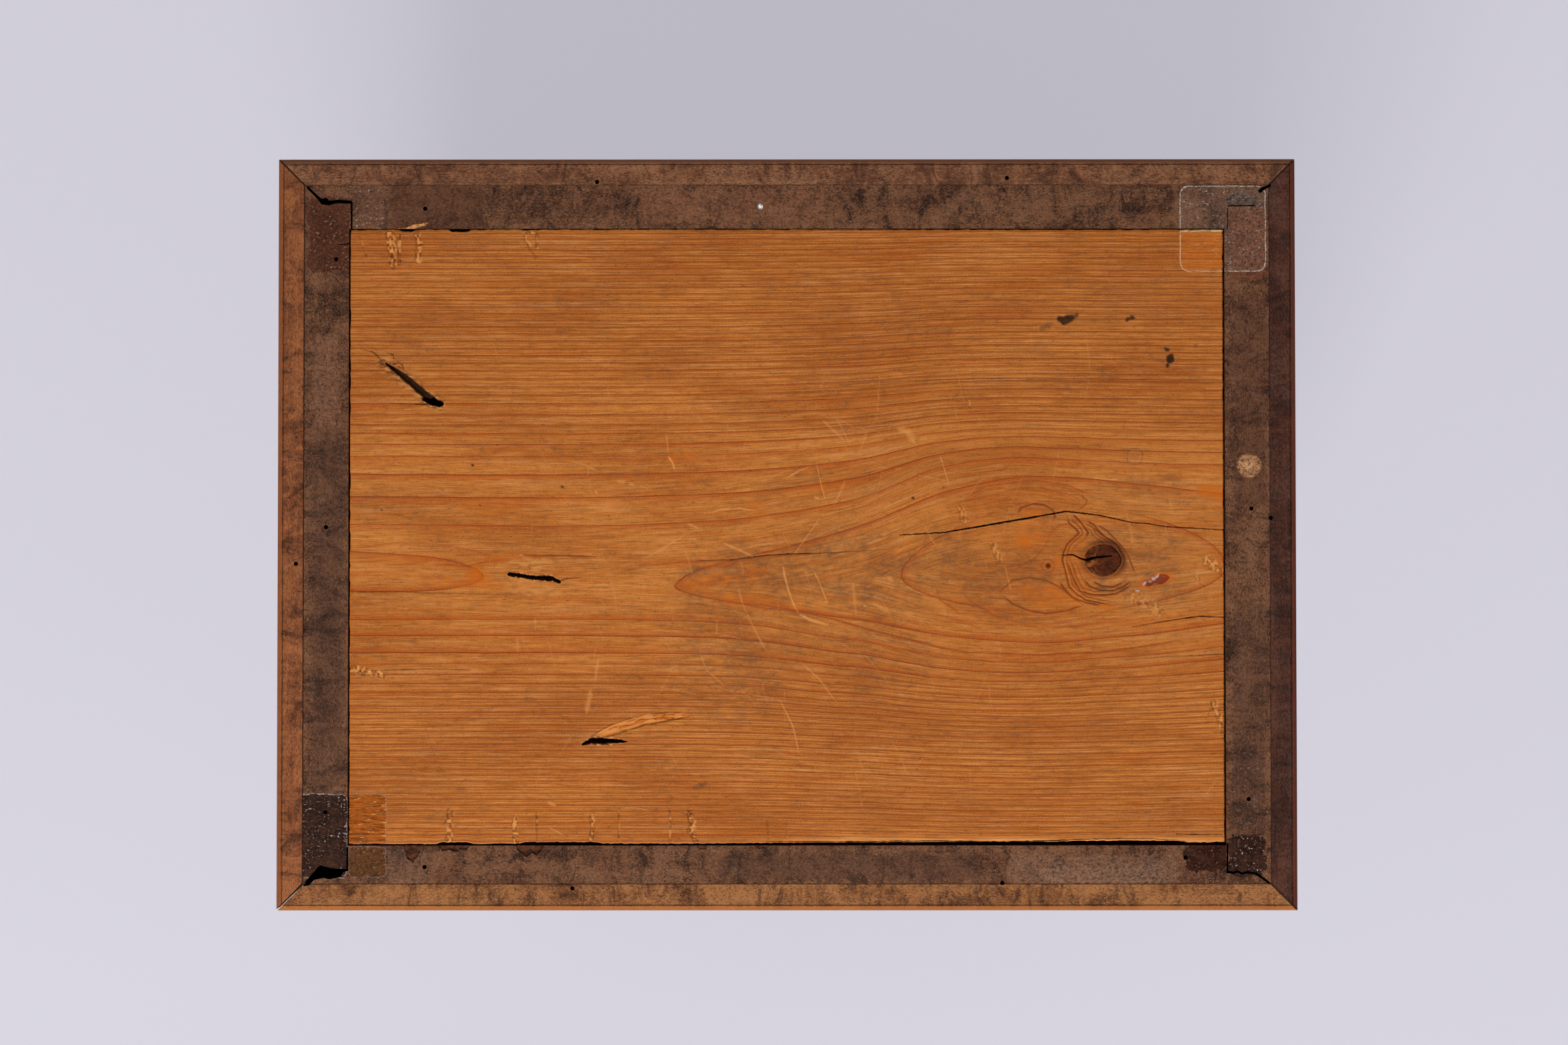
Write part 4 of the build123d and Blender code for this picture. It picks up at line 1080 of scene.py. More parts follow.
# How far inside a leaning oval each point lies: 1 at its middle, 0 at its edge and beyond
def oval(u, v, spot, ragged=0.25, seed=11):
    cu, cv, halfLength, halfHeight, turn = spot[:5]
    c, s = math.cos(math.radians(turn)), math.sin(math.radians(turn))
    a, b = (u - cu) * c + (v - cv) * s, (v - cv) * c - (u - cu) * s
    away = np.hypot(a / halfLength, b / halfHeight)
    away = away + ragged * 2 * (ripple(u, v, max(halfHeight * 0.8, 3), seed) - 0.5)
    return np.clip(1 - away, 0, 1)


# How far points lie from the middle of an upright oval, as a share of its size
def ovalDistance(u, v, form):
    return np.hypot((u - form["u"]) / form["halfLength"], (v - form["v"]) / form["halfHeight"])


# Whether points lie in a square with rounded corners, fading over the last pixels
def roundedSquare(u, v, form, fade=2.0):
    middleU, middleV = (form["left"] + form["right"]) / 2, (form["top"] + form["bottom"]) / 2
    a = np.maximum(np.abs(u - middleU) - (form["right"] - form["left"]) / 2 + form["corner"], 0)
    b = np.maximum(np.abs(v - middleV) - (form["bottom"] - form["top"]) / 2 + form["corner"], 0)
    return np.clip((form["corner"] - np.hypot(a, b)) / fade, 0, 1)


everywhere = slice(None)


def held(values):
    return np.clip(values, 0, 1)


# A mark never weakens what is drawn there already
def strengthen(layer, near, value):
    layer[near] = np.maximum(layer[near], value)


def rippleAt(panel, near, size, seed):
    return ripple(panel.u[near], panel.v[near], size, seed)


# Torn fibres: pale flakes, so long and so high, and the dark cracks between them, which are painted shade
def tear(panel, near, reach, long, high, seed, pale=0.6, dark=0.8):
    cells = ripple(panel.u[near] * high / long, panel.v[near], high, seed)
    strengthen(panel.scraped, near, reach * held(cells * 6 - 3.3) * pale)
    strengthen(panel.depth, near, reach * held(1 - np.abs(cells - 0.36) / 0.11) * dark)
    panel.z[near] -= 0.1 * reach * cells


def drawYearLines(panel):
    for strength, dark, echoes, line in figureLines:
        near, far, along, side = nearLine(panel.u, panel.v, line, 8 + 6 * abs(echoes))
        uneven = 0.7 + 0.6 * rippleAt(panel, near, 11, 12)
        ends = np.clip(np.minimum(along, 1 - along) / 0.08, 0.15, 1)
        value = held(1 - far / (np.where(side > 0, 4.0, 1.3) * uneven))
        for echo in range(1, abs(echoes) + 1):
            there = far + (rippleAt(panel, near, 16, 13 + echo) - 0.5) * 3 - 5.5 * echo
            there = np.where(there > 0, there / 1.2, -there / 2.6)
            value = np.maximum(value, held(1 - there) * 0.8**echo * (side * echoes > 0))
        value = min(strength * 1.5, 1) * value * ends
        strengthen(panel.drawn, near, value)
        strengthen(panel.depth, near, value ** 2 * dark)
        panel.z[near] += 0.06 * strength * held(1 - far / 2.2)


def drawKnots(panel):
    u, v = panel.u, panel.v
    around = ovalDistance(u, v, knot)
    around += 0.08 * (ripple(u, v, 13, 9) - 0.5)
    crumbs = held(ripple(u, v, 3, 10) * 4 - 2.1) * np.clip((1652 - u) / 18, 0.08, 1)
    panel.heart[:] = held((1.02 - around) / 0.08) * (0.97 - 0.6 * crumbs)
    upperRight = held(0.4 + (u - v + knot["v"] - knot["u"]) / 40)
    strengthen(panel.heart, everywhere, held(1 - np.abs(around - 1.1) / 0.28) * (0.28 + 0.62 * upperRight))
    rightRim = held(1 - np.abs(around - 0.93) / 0.06) * held((u - knot["u"] - 3) / 12)
    strengthen(panel.depth, everywhere, rightRim * 0.95)
    panel.z += knot["moat"] * np.exp(-((around - 1.0) / 0.08) ** 2) - knot["rise"] * held(1 - around)
    pin = np.hypot(u - pinKnot["u"], v - pinKnot["v"])
    strengthen(panel.heart, everywhere, held((pinKnot["heart"] - pin) / 2.5) * 0.8)
    strengthen(panel.drawn, everywhere, held(1 - np.abs(pin - pinKnot["ring"]) / 2.2) * 0.7)
    strengthen(panel.depth, everywhere, held((pinKnot["hole"] - pin) / 1.2) * ripple(u, v, 2.5, 3) * 0.8)
    panel.quiet[:] = held((1.1 - ovalDistance(u, v, quietOval)) / 0.3)


def drawSpots(panel):
    u, v = panel.u, panel.v
    for spot in resinSpots:
        strengthen(panel.resin, everywhere, np.minimum(oval(u, v, spot, 0.3, 21) * 2.2, 1) * spot[5])
    for spot in grimeSpots:
        strength = spot[5]
        bold = strength > grimeLook["sharp"]
        value = np.minimum(oval(u, v, spot, 0.45, 31) * (2.5 if bold else 1.6), 1) * strength
        if not bold:
            value = value * (0.35 + 0.9 * ripple(u, v * 2.4, 17, 32))
        strengthen(panel.grime, everywhere, value)
        if strength >= grimeLook["deep"]:
            strengthen(panel.depth, everywhere, held(value * 2 - .7) * .8)
    haze = held(ripple(u, v * 2.2, 60, 41) * ripple(u, v * 1.8, 22, 42) * 1.5 - 0.5)
    strengthen(panel.grime, everywhere, haze * np.clip(1.2 - (v - 345) / 600, 0.35, 1) * 0.55)


def drawScratches(panel):
    for line, half, strength in scratches:
        near, far, along, _ = nearLine(panel.u, panel.v, line, half * 2 + 2)
        ends = np.clip(np.minimum(along, 1 - along) / .15, .35, 1)
        width = half * (0.55 + 0.9 * rippleAt(panel, near, 7, 51)) * ends
        strengthen(panel.scraped, near, held(1.2 - far / np.maximum(width, 0.35)) * strength * 0.72)
        panel.z[near] += 0.035 * held(1 - far / width) - 0.02 * held(1 - np.abs(far / width - 1.4) / .5)
    for line, half, deep in chops:
        near, far, _, side = nearLine(panel.u, panel.v, line, half * 1.6 + 3)
        width = half * (0.6 + 0.9 * rippleAt(panel, near, 5, 62))
        inside = held(1.5 - far / width)
        panel.z[near] += deep * inside * rippleAt(panel, near, 3, 61)
        tear(panel, near, inside * min(deep * 3, 1), 3.0, 4.6, 63, 0.68)
        # A dark line along one side of each chop: painted shadow of its edge
        strengthen(panel.depth, near, held(1 - np.abs(far * side - width) / 0.9) * deep * 1.8)
    for line in prickedLines:
        near, far, *_ = nearLine(panel.u, panel.v, line, 3)
        dots = held(rippleAt(panel, near, 2.6, 71) * 3 - 1.7)
        strengthen(panel.grime, near, held(1.3 - far / 1.3) * dots * .95)


def drawTornWood(panel):
    u, v = panel.u, panel.v
    for spot in tornSpots:
        torn = np.minimum(oval(u, v, spot, 0.35, 81) * 2, 1)
        streaky = ripple(u * 0.35, v * 2.2, 7, 82)
        strengthen(panel.scraped, everywhere, torn * held(streaky * 2.4 - .8) * spot[5] * .6)
        panel.z += torn * 0.07 * streaky
        near = np.nonzero(torn > 0)[0]
        tear(panel, near, torn[near] * spot[5], 16, 2.2, 86, 0.5, 0.5)
    near, far, along, side = nearLine(u, v, tornStrip["line"], 14)
    half = np.interp(along, tornStrip["at"], tornStrip["width"])
    inside = held((half - far) / 1.5)
    fibre = ripple(along * 150 * 2.2 / 14, far * side, 2.2, 83)
    strengthen(panel.resin, near, inside * .6)
    strengthen(panel.scraped, near, inside * held(fibre * 3 - 1) * .55)
    # The dark cracks between the torn fibres and the broken dark outline round the strip are painted shade
    strengthen(panel.depth, near, inside * held(1 - np.abs(fibre - .33) / .08) * .7)
    outline = held(1 - np.abs(far - half - .3) / 1.2) * held(rippleAt(panel, near, 9, 87) * 3 - .7)
    strengthen(panel.depth, near, outline * .8)
    panel.z[near] += 0.25 * inside * (0.5 + fibre)


def drawCracks(panel):
    for deep, widths, line in cracks:
        near, far, along, _ = nearLine(panel.u, panel.v, line, 8)
        width = np.interp(along, np.linspace(0, 1, len(widths)), widths)
        width = width * (0.35 + 0.45 * rippleAt(panel, near, 6, 3))
        inside = held(1 - far / (np.maximum(width, crackLook["least"]) * 1.35))
        weight = np.clip(width / crackLook["least"], crackLook["faintest"], 1)
        panel.z[near] += deep * inside * weight
        # Near-black inside the crack: painted shade
        strengthen(panel.depth, near, held(inside * 1.8) * weight)
        strengthen(panel.grime, near, held(1 - far / (width * 1.6 + 1.6)) * .55)
    for gouge in gouges:
        near, far, along, _ = nearLine(panel.u, panel.v, gouge["line"], 24)
        least, more = gouge["uneven"]
        width = np.interp(along, np.linspace(0, 1, len(gouge["width"])), gouge["width"])
        bumpy = 0.5 * rippleAt(panel, near, 7, 4) + 0.5 * rippleAt(panel, near, 2.2, 6)
        width = width * (least + more * bumpy)
        inside = held(1.15 - (far / width) ** 3)
        panel.z[near] += gouge["deep"] * inside
        # Near-black inside the gouge: painted shade
        strengthen(panel.depth, near, held(inside * 1.3) * gouge["dark"])
        strengthen(panel.grime, near, held(2.0 - far / width) * (0.35 + 0.5 * rippleAt(panel, near, 3, 88)))
        rim = gouge["rim"] * held(1 - np.abs(far / width - 1.25) / 0.45)
        rim = rim * held(rippleAt(panel, near, 5, 5) * 2 - .6)
        strengthen(panel.scraped, near, rim * .9)
        panel.z[near] -= 0.05 * rim

    # Splinters stand up along both sides of the first gouge
    near, far, _, side = nearLine(panel.u, panel.v, gouges[0]["line"], 18)
    fringe = (far - 4) / (4 + 10 * rippleAt(panel, near, 13, 85) * np.where(side > 0, 1.3, 0.7))
    tear(panel, near, held(1.3 - fringe) * (far > 4), 9, 3.0, 84, 0.45)
    strengthen(panel.grime, near, held(1.2 - fringe) * 0.6)


# Under the pad's film and the old glue the pine is a stronger orange, and the lower edge is splintered
def drawStains(panel):
    u, v = panel.u, panel.v
    film = roundedSquare(u, v, padStain)
    strengthen(panel.resin, everywhere, film * (0.16 + 0.2 * ripple(u, v, 9, 91)))
    panel.grime *= 1 - film
    glue = roundedSquare(u, v, glueSquare, 5.0)
    strengthen(panel.resin, everywhere, glue * (0.7 * ripple(u * 0.4, v * 2.0, 6, 92) - 0.1))
    strengthen(panel.scraped, everywhere, glue * held(ripple(u * 0.6, v * 1.4, 5, 93) * 3 - 2.1) * .45)
    strengthen(panel.grime, everywhere, glue * held(ripple(u, v, 8, 94) * 3 - 1.9) * .6)
    halo = roundedSquare(u, v, glueHalo, 40)
    strengthen(panel.grime, everywhere, halo * (1 - glue) * .35 * ripple(u, v, 12, 95))
    splintered = held((v - 1257 + 5 * ripple(u, v, 40, 96)) / 5) * np.clip((u - 1100) / 200, 0.1, 1)
    strengthen(panel.scraped, everywhere, splintered * (0.2 + 0.5 * ripple(u * 0.3, v * 2, 6, 97)))


# Pocket of resin beside the knot, with white crystals on its upper left
def drawPocket(panel):
    near, far, *_ = nearLine(panel.u, panel.v, resinPocket["crystals"], 8)
    strengthen(panel.crystals, near, held(1.5 - far / (4 * rippleAt(panel, near, 3, 98)))
               * held(rippleAt(panel, near, 5, 89) * 5 - 1.8) * .42)
    hollow = np.minimum(oval(panel.u, panel.v, resinPocket["hollow"], 0.1, 22) * 3, 1)
    panel.z += resinPocket["deep"] * hollow
    rim = oval(panel.u, panel.v, resinPocket["rim"], 0.1, 22)
    strengthen(panel.grime, everywhere, held(1 - np.abs(rim - .06) / .08) * .6)


def panelShape(xs, ys, u, v):
    form = panelForm
    ring, flow = yearRings(u, v)
    ahead, _ = yearRings(u, v + 1.0)
    beside, _ = yearRings(u + 1.0, v)
    steep = np.hypot(ahead - ring, beside - ring)
    spacing = np.clip(1 / np.maximum(steep, 1e-4) / photoPixelsPerMm, 0.8, 30)
    z = form["recess"] + form["wave"] * (ripple(u, v, 190, 1) + ripple(u, v, 70, 2) * 0.4 - 0.7)
    edge = np.minimum(np.minimum(xs - form["left"], form["right"] - xs),
                      np.minimum(ys - form["front"], form["back"] - ys))
    worn = form["edgeWear"] * (0.5 + ripple(u, v, 14, 8))
    z += form["edgeDrop"] * held(1 - edge / worn) ** 2

    # What the pine's material reads: two colours of four channels each
    marks, figure = np.zeros((len(xs), 4)), np.zeros((len(xs), 4))
    panel = SimpleNamespace(u=u, v=v, z=z)
    panel.grime, panel.scraped, panel.resin, panel.depth = marks.T
    panel.drawn, panel.heart, panel.quiet, panel.crystals = figure.T
    # Painted shade along the panel's left edge, beside the gap to the end board
    panel.depth[:] = held(1.3 - (xs - form["left"]) / form["edgeShadeReach"]) * (0.7 + 0.3 * ripple(u, v, 9, 113))
    for draw in (drawYearLines, drawKnots, drawSpots, drawScratches, drawTornWood, drawCracks, drawStains,
                 drawPocket):
        draw(panel)

    # Ragged edges, with left and right as the photograph shows them
    lower = straightCurve(u, lowerEdge) + 1.3 * (ripple(u, v * 0, 5, 99) - 0.5)
    upper = straightCurve(u, upperEdge) + 1.2 * (ripple(u, v * 0, 6, 100) - 0.3)
    fall = held(1 - (ys - form["front"]) / form["edgeReach"])
    rise = held(1 - (form["back"] - ys) / form["edgeReach"])
    moved = ys + fall * np.maximum(lower, -2.5) / photoPixelsPerMm
    moved = moved - rise * np.maximum(upper, 0) / photoPixelsPerMm
    frayAt = [held(ripple(u * 0, v, size, seed) * 2 - .9) for size, seed in ((9, 101), (10, 102))]
    leftFray = held(1 - (form["right"] - xs) / form["frayReach"]) * (0.25 * frayAt[0] - 0.25)
    rightFray = held(1 - (xs - form["left"]) / form["frayReach"]) * (0.4 + 0.2 * frayAt[1])
    return {"x": xs - leftFray + rightFray, "y": moved, "z": np.maximum(panel.z, form["leastRecess"]),
            "ring": ring, "flow": -flow / photoPixelsPerMm, "spacing": spacing, "marks": held(marks),
            "figure": held(figure)}


oldPine = pineFinish()
newPiece("bottom_panel_wood", panelMesh(wantedLevel, panelShape), oldPine, "case",
         ("bottom_panel",))


# Copies of the CAD solids with their arrises eased
def easedCopy(node, ease, segments=2):
    shape = bmesh.new()
    shape.from_mesh(frame["nodes"][node].data)
    bmesh.ops.remove_doubles(shape, verts=shape.verts, dist=1e-6)
    bmesh.ops.dissolve_limit(shape, angle_limit=math.radians(1), verts=shape.verts, edges=shape.edges)
    sharp = [e for e in shape.edges if len(e.link_faces) == 2 and e.calc_face_angle(0) > math.radians(28)]
    bmesh.ops.bevel(shape, geom=sharp, offset=ease * mm, offset_type="OFFSET", segments=segments,
                    profile=0.5, affect="EDGES", clamp_overlap=True)
    mesh = bpy.data.meshes.new(node)
    shape.to_mesh(mesh)
    shape.free()
    for layer in ("custom_normal", "UVMap"):
        if layer in mesh.attributes:
            mesh.attributes.remove(mesh.attributes[layer])
    shadeByAngle(mesh)
    return mesh


walnutPieces = {
    "front_board": ("boards", True), "back_board": ("boards", True),
    "left_end_board": ("boards", False), "right_end_board": ("boards", False),
    "lid_front_board": ("lidBoards", True), "lid_back_board": ("lidBoards", True),
    "lid_left_end_board": ("lidBoards", False), "lid_right_end_board": ("lidBoards", False),
    "lid_top": ("lidTop", True),
}
walnutMade = {}


def walnut(toneName, alongX):
    if (toneName, alongX) not in walnutMade:
        walnutMade[toneName, alongX] = walnutFinish(toneName, alongX, len(walnutMade) + 1)
    return walnutMade[toneName, alongX]


# Gaps, splits and chips in the boards, drawn over the photograph, with their depth in mm
gaps = [
    ([(459.5, 281.5), (462, 279.5), (482, 298), (490, 296.5), (494, 301), (508, 299.5), (528, 301),
     (528, 305.5), (505, 305), (493, 308), (482, 306.5), (478, 300.5)], 3.5),
    ([(526.2, 303), (529.2, 303), (528.8, 347), (526.2, 347)], 3.0),
    ([(507, 366.6), (522, 365), (528, 360), (528, 362), (522, 366.8), (507, 367.6)], 1.0),
    ([(454, 1327.5), (464, 1316), (471, 1308), (476, 1301.5), (481, 1298.5), (496, 1302.5), (513, 1304),
     (515, 1310), (511, 1316), (494, 1319.5), (485, 1317.5), (471, 1320.5), (464, 1328.5),
     (456, 1330)], 5.0),
    ([(519.6, 1271), (522.6, 1271), (522.6, 1307), (512, 1309), (512, 1304), (519.6, 1304)], 4.0),
    ([(1841, 1266), (1843.4, 1266), (1843.4, 1309), (1841, 1309)], 3.0),
    ([(1840.5, 1305.5), (1850, 1308), (1857, 1305.8), (1864, 1309), (1872, 1307), (1886, 1309.4),
     (1907, 1324.6), (1906, 1327), (1884, 1312.4), (1872, 1310.6), (1864, 1312.4), (1857, 1309.4),
     (1850, 1311.6), (1840.5, 1310)], 2.5),
    ([(1842, 308), (1884, 307.6), (1884, 309.4), (1842, 309.8)], 1.2),
    ([(1888, 286), (1892, 281.5), (1899, 279), (1907, 276), (1907.5, 279.5), (1899, 283.5),
     (1891, 290)], 3.0),
    ([(1841.4, 344), (1842.8, 344), (1842.8, 312), (1841.4, 312)], .8),
]
chips = [
    ([(658, 1268), (703, 1268), (700, 1276), (690, 1274), (684, 1279), (672, 1275.5), (663, 1277)], .7),
    ([(774, 1268), (816, 1268), (812, 1277), (806, 1284), (798, 1280), (790, 1286), (782, 1279),
     (777, 1276)], .8),
    ([(604, 1268), (632, 1268), (630, 1279), (624, 1287), (620, 1295), (612, 1289), (608, 1279)], .7),
    ([(1045, 1268), (1062, 1268), (1060, 1274), (1050, 1274)], .4),
    ([(1130, 1268), (1152, 1268), (1148, 1273), (1136, 1273)], .4),
    ([(887, 348), (905, 348), (902, 343), (890, 342.6)], .4),
]
splinters = [
    ([(592, 347), (616, 347), (626, 343), (640, 338), (642, 335), (622, 336), (612, 341), (597, 342)], .25),
]
nailHoles = [
    (896, 273), (1511, 267), (444, 846), (859, 1333), (1504, 1325), (1907, 777), (638, 313), (504.5, 389),
    (489, 791), (488, 1219), (637, 1301), (1874, 1199), (1779, 1287), (1878, 763),
]
nailHole = {"radius": 0.65, "deep": 5.0, "corners": 14}
underside = {"recess": 0.15, "ease": 0.22}
# Gaps and nail holes are painted near-black inside: painted shade
paintedShadeGaps = cutFinish("paintedShadeGaps", (6, 3, 2), (16, 9, 6))
tornWalnut = cutFinish("tornWalnut", (46, 25, 15), (92, 56, 38))
tornPine = cutFinish("tornPine", (128, 74, 34), (214, 156, 96))


def cutterMesh(shapes, material):
    points, faces = [], []
    for outline, deep in shapes:
        n, first = len(outline), len(points)
        corners = [toBox(u, v) for u, v in outline]
        points += [(x * mm, y * mm, height * mm) for height in (-1.0, deep) for x, y in corners]
        faces += [tuple(range(first, first + n)), tuple(range(first + 2 * n - 1, first + n - 1, -1))]
        for i in range(n):
            after = first + (i + 1) % n
            faces.append((first + i, first + n + i, n + after, after))
    mesh = facingOut(meshFrom("cutter", points, faces))
    mesh.materials.append(material)
    return mesh


def holeOutline(u, v):
    n, radius = nailHole["corners"], nailHole["radius"] * photoPixelsPerMm
    angles = [i * math.tau / n for i in range(n)]
    return [(u + radius * math.cos(angle), v + radius * math.sin(angle)) for angle in angles]


# An outline with more corners, each moved a little at random
def ragged(outline, step=3.0, amount=1.3):
    corners = []
    for i, (u0, v0) in enumerate(outline):
        u1, v1 = outline[(i + 1) % len(outline)]
        parts = max(int(math.hypot(u1 - u0, v1 - v0) / step), 1)
        corners += [(u0 + (u1 - u0) * k / parts, v0 + (v1 - v0) * k / parts) for k in range(parts)]
    u, v = np.array(corners).T
    moved = [axis + amount * (2 * ripple(u, v, 3, seed) - 1) for axis, seed in ((u, 111), (v, 112))]
    return list(zip(*moved))


def meets(mesh, outline, margin=0.3):
    corners = [toBox(u, v) for u, v in outline]
    for axis in (0, 1):
        own = [vertex.co[axis] / mm for vertex in mesh.vertices]
        theirs = [corner[axis] for corner in corners]
        if max(theirs) < min(own) - margin or min(theirs) > max(own) + margin:
            return False
    return True


# The mesh with every gap, chip and nail hole that meets it cut away
def cutAway(mesh, material):
    mesh.materials.clear()
    mesh.materials.append(material)
    holes = [(holeOutline(u, v), nailHole["deep"]) for u, v in nailHoles]
    torn, pale = ([(ragged(outline), deep) for outline, deep in shapes] for shapes in (chips, splinters))
    for shapes, cutMaterial, crossing in ((torn, tornWalnut, False), (pale, tornPine, False),
                                          (gaps, paintedShadeGaps, True), (holes, paintedShadeGaps, False)):
        shapes = [shape for shape in shapes if meets(mesh, shape[0])]
        if not shapes:
            continue
        piece = bpy.data.objects.new("cutting", mesh)
        tool = bpy.data.objects.new("cutter", cutterMesh(shapes, cutMaterial))
        for thing in (piece, tool):
            bpy.context.scene.collection.objects.link(thing)
        cut = piece.modifiers.new("cut", "BOOLEAN")
        cut.object, cut.operation, cut.solver = tool, "DIFFERENCE", "EXACT"
        cut.use_self, cut.material_mode = crossing, "TRANSFER"
        made = bpy.data.meshes.new_from_object(piece.evaluated_get(bpy.context.evaluated_depsgraph_get()))
        for thing in (piece, tool):
            bpy.data.objects.remove(thing)
        mesh = made
    return mesh


# Undersides of the case boards stand a little inside the box, under the film and the dirt
def raiseUnderside(mesh):
    recess, ease = underside["recess"], underside["ease"]
    for vertex in mesh.vertices:
        height = vertex.co.z / mm
        if height < ease:
            vertex.co.z = (recess + height * (1 - recess / ease)) * mm


for node, (tone, alongX) in walnutPieces.items():
    finish = walnut(tone, alongX)
    mesh = easedCopy(node, underside["ease"])
    if tone == "boards":
        raiseUnderside(mesh)
        mesh = cutAway(mesh, finish)
    newPiece(node + "_wood", mesh, finish, bodyOfNode[node], (node,))
print("boards eased")


# Mouldings, swept round the base and, upside down, round the lid
def quarterTurn(steps, first=0):
    return [math.radians(i * 90 / steps) for i in range(first, steps + 1)]


def mouldingProfile():
    form = mouldingForm
    footEnd = form["thick"] - form["arris"]
    coveFoot = form["thick"] - form["quirk"]
    neckOut = coveFoot - form["cove"]
    neckLow = form["flat"] + form["cove"]
    neckHigh = neckLow + form["neck"]
    profile = [(0.0, 0.0), (footEnd * 0.5, 0.0), (footEnd - 0.3, 0.0), (footEnd - 0.16, form["groove"]),
               (footEnd - 0.04, form["groove"]), (footEnd + 0.04, 0.04)]
    for angle in quarterTurn(7, 1):
        rounded = form["arris"] * (1 - math.cos(angle)) + 0.02
        profile.append((footEnd + form["arris"] * math.sin(angle), rounded))
    profile += [(form["thick"], form["flat"] * 0.5), (form["thick"], form["flat"] - 0.3),
                (form["thick"] - 0.1, form["flat"] - 0.08), (form["thick"] - 0.3, form["flat"]),
                (coveFoot + 0.04, form["flat"] + 0.02)]
    for angle in quarterTurn(8):
        away, down = form["cove"] * math.sin(angle), form["cove"] * math.cos(angle)
        profile.append((coveFoot - away, neckLow - down))
    profile.append((neckOut, neckHigh))
    for angle in quarterTurn(5, 1):
        profile.append((neckOut * math.cos(angle), neckHigh + neckOut * math.sin(angle)))
    return profile


mouldingSides = {
    "front": ((0, -1), "halfDepth", "halfLength"), "back": ((0, 1), "halfDepth", "halfLength"),
    "left": ((-1, 0), "halfLength", "halfDepth"), "right": ((1, 0), "halfLength", "halfDepth"),
}


def mouldingMesh(name, side, upsideDown, shorter):
    form = mouldingForm
    out, reach, halfRun = mouldingSides[side]
    reach, halfRun = form[reach], form[halfRun]
    run = (-out[1], out[0])
    profile = mouldingProfile()
    count = int(2 * halfRun / form["step"])
    points, faces = [], []
    for i in range(count + 1):
        share = i / count
        for away, height in profile:
            low, high = -(halfRun + away) + shorter[0], halfRun + away - shorter[1]
            s = low + (high - low) * share
            waver = form["waver"] * (ripple(s + 500, height * 9 + away * 5, 23, 6 + reach) - 0.5)
            waver = waver if 0.3 < away < form["thick"] - 0.3 and height > 0.3 else 0
            x = out[0] * (reach + away - max(waver, 0)) + run[0] * s
            y = out[1] * (reach + away - max(waver, 0)) + run[1] * s
            z = form["lidTop"] - height if upsideDown else height
            points.append((x * mm, y * mm, z * mm))
    n = len(profile)
    for i in range(count):
        for j in range(n):
            a, b = i * n + j, i * n + (j + 1) % n
            faces.append((a, b, b + n, a + n))
    faces += [tuple(range(n)), tuple(range(count * n, count * n + n))]
    mesh = facingOut(meshFrom(name, points, faces))
    shadeByAngle(mesh, 30)
    return mesh


# Run starts and ends where the sides meet; the joint of the front and right strips stands open
mitreGaps = {"front": (0.05, 0.38), "back": (0.05, 0.05), "left": (0.05, 0.05), "right": (0.38, 0.05)}
for side in mouldingSides:
    alongX = side in ("front", "back")
    finish = walnut(side + "Strip", alongX)
    mesh = cutAway(mouldingMesh(f"base_moulding_{side}", side, False, mitreGaps[side]), finish)
    newPiece(f"base_moulding_{side}_wood", mesh, finish, "case",
             (f"base_moulding_{side}",))
    newPiece(f"lid_moulding_{side}_wood", mouldingMesh(f"lid_moulding_{side}", side, True, (0.05, 0.05)),
             walnut("lidStrips", alongX), "lid", (f"lid_moulding_{side}",))
print("mouldings run")


# Brass and steel
agedBrass, screwBrass, pinSteel = (metalFinish(name) for name in ("agedBrass", "screwBrass", "pinSteel"))
for node in frame["nodes"]:
    if "screws" in node:
        finish = screwBrass
    elif "pin" in node:
        finish = pinSteel
    elif "hinge" in node or node in ("lock_case", "lock_bolt", "lid_link_plate", "key_escutcheon"):
        finish = agedBrass
    else:
        continue
    if node in ("lock_case", "lid_link_plate", "key_escutcheon") or "leaf" in node:
        newPiece(node + "_metal", easedCopy(node, 0.12), finish, bodyOfNode[node], (node,))
        continue
    mesh = frame["nodes"][node].data
    mesh.materials.clear()
    mesh.materials.append(finish)
print("metal finished")


# Stage. The floor shows only from above and the backdrop only from below, so that one scene serves both.
stageForm = {
    "floorDrop": 0.0001, "floorHalf": 8.0, "floorFade": (0.7, 1.7), "floorTone": (222, 220, 226),
    "contact": 0.0028, "passLength": 0.38,
    "backdropHeight": 0.34, "backdropHalf": 0.9, "backdropFade": (0.5, 0.85),
    "backdropGrazing": (0.35, 0.55), "backdropTone": (141, 139, 143), "backdropGlow": (0.335, 0.333, 0.377),
    "skyTone": (212, 210, 220), "skyLight": (0.97, 0.95, 1.0), "skyStrength": 0.37,
}


def stagePlane(name, half, height, facesDown, material):
    corners = [(-half, -half, height), (half, -half, height), (half, half, height), (-half, half, height)]
    mesh = meshFrom(name, corners, [(3, 2, 1, 0) if facesDown else (0, 1, 2, 3)])
    plane = bpy.data.objects.new(name, mesh)
    bpy.context.scene.collection.objects.link(plane)
    mesh.materials.append(material)


def stageMaterial(name, tone, fade, hideRules, glow=None):
    material, tree, shader, output = newMaterial(name)
    fill(tree, shader, {"Base Color": fromPaint(*tone), "Roughness": 0.9, "Specular IOR Level": 0.0})
    if glow:
        fill(tree, shader, {"Emission Color": (*glow, 1.0), "Emission Strength": 1.0})
    path = put(tree, "ShaderNodeLightPath").outputs
    back = put(tree, "ShaderNodeNewGeometry").outputs["Backfacing"]
    away = vectorWork(tree, "LENGTH", vectorWork(tree, "MULTIPLY", objectPlace(tree), (1, 1, 0)))
    hidden = larger(tree, back, between(tree, away, *fade))
    hidden = hideRules(tree, path, hidden)
    clear = put(tree, "ShaderNodeBsdfTransparent")
    shown = put(tree, "ShaderNodeMixShader", {0: hidden, 1: shader.outputs[0], 2: clear.outputs[0]})
    tree.links.new(shown.outputs[0], output.inputs[0])
    return material


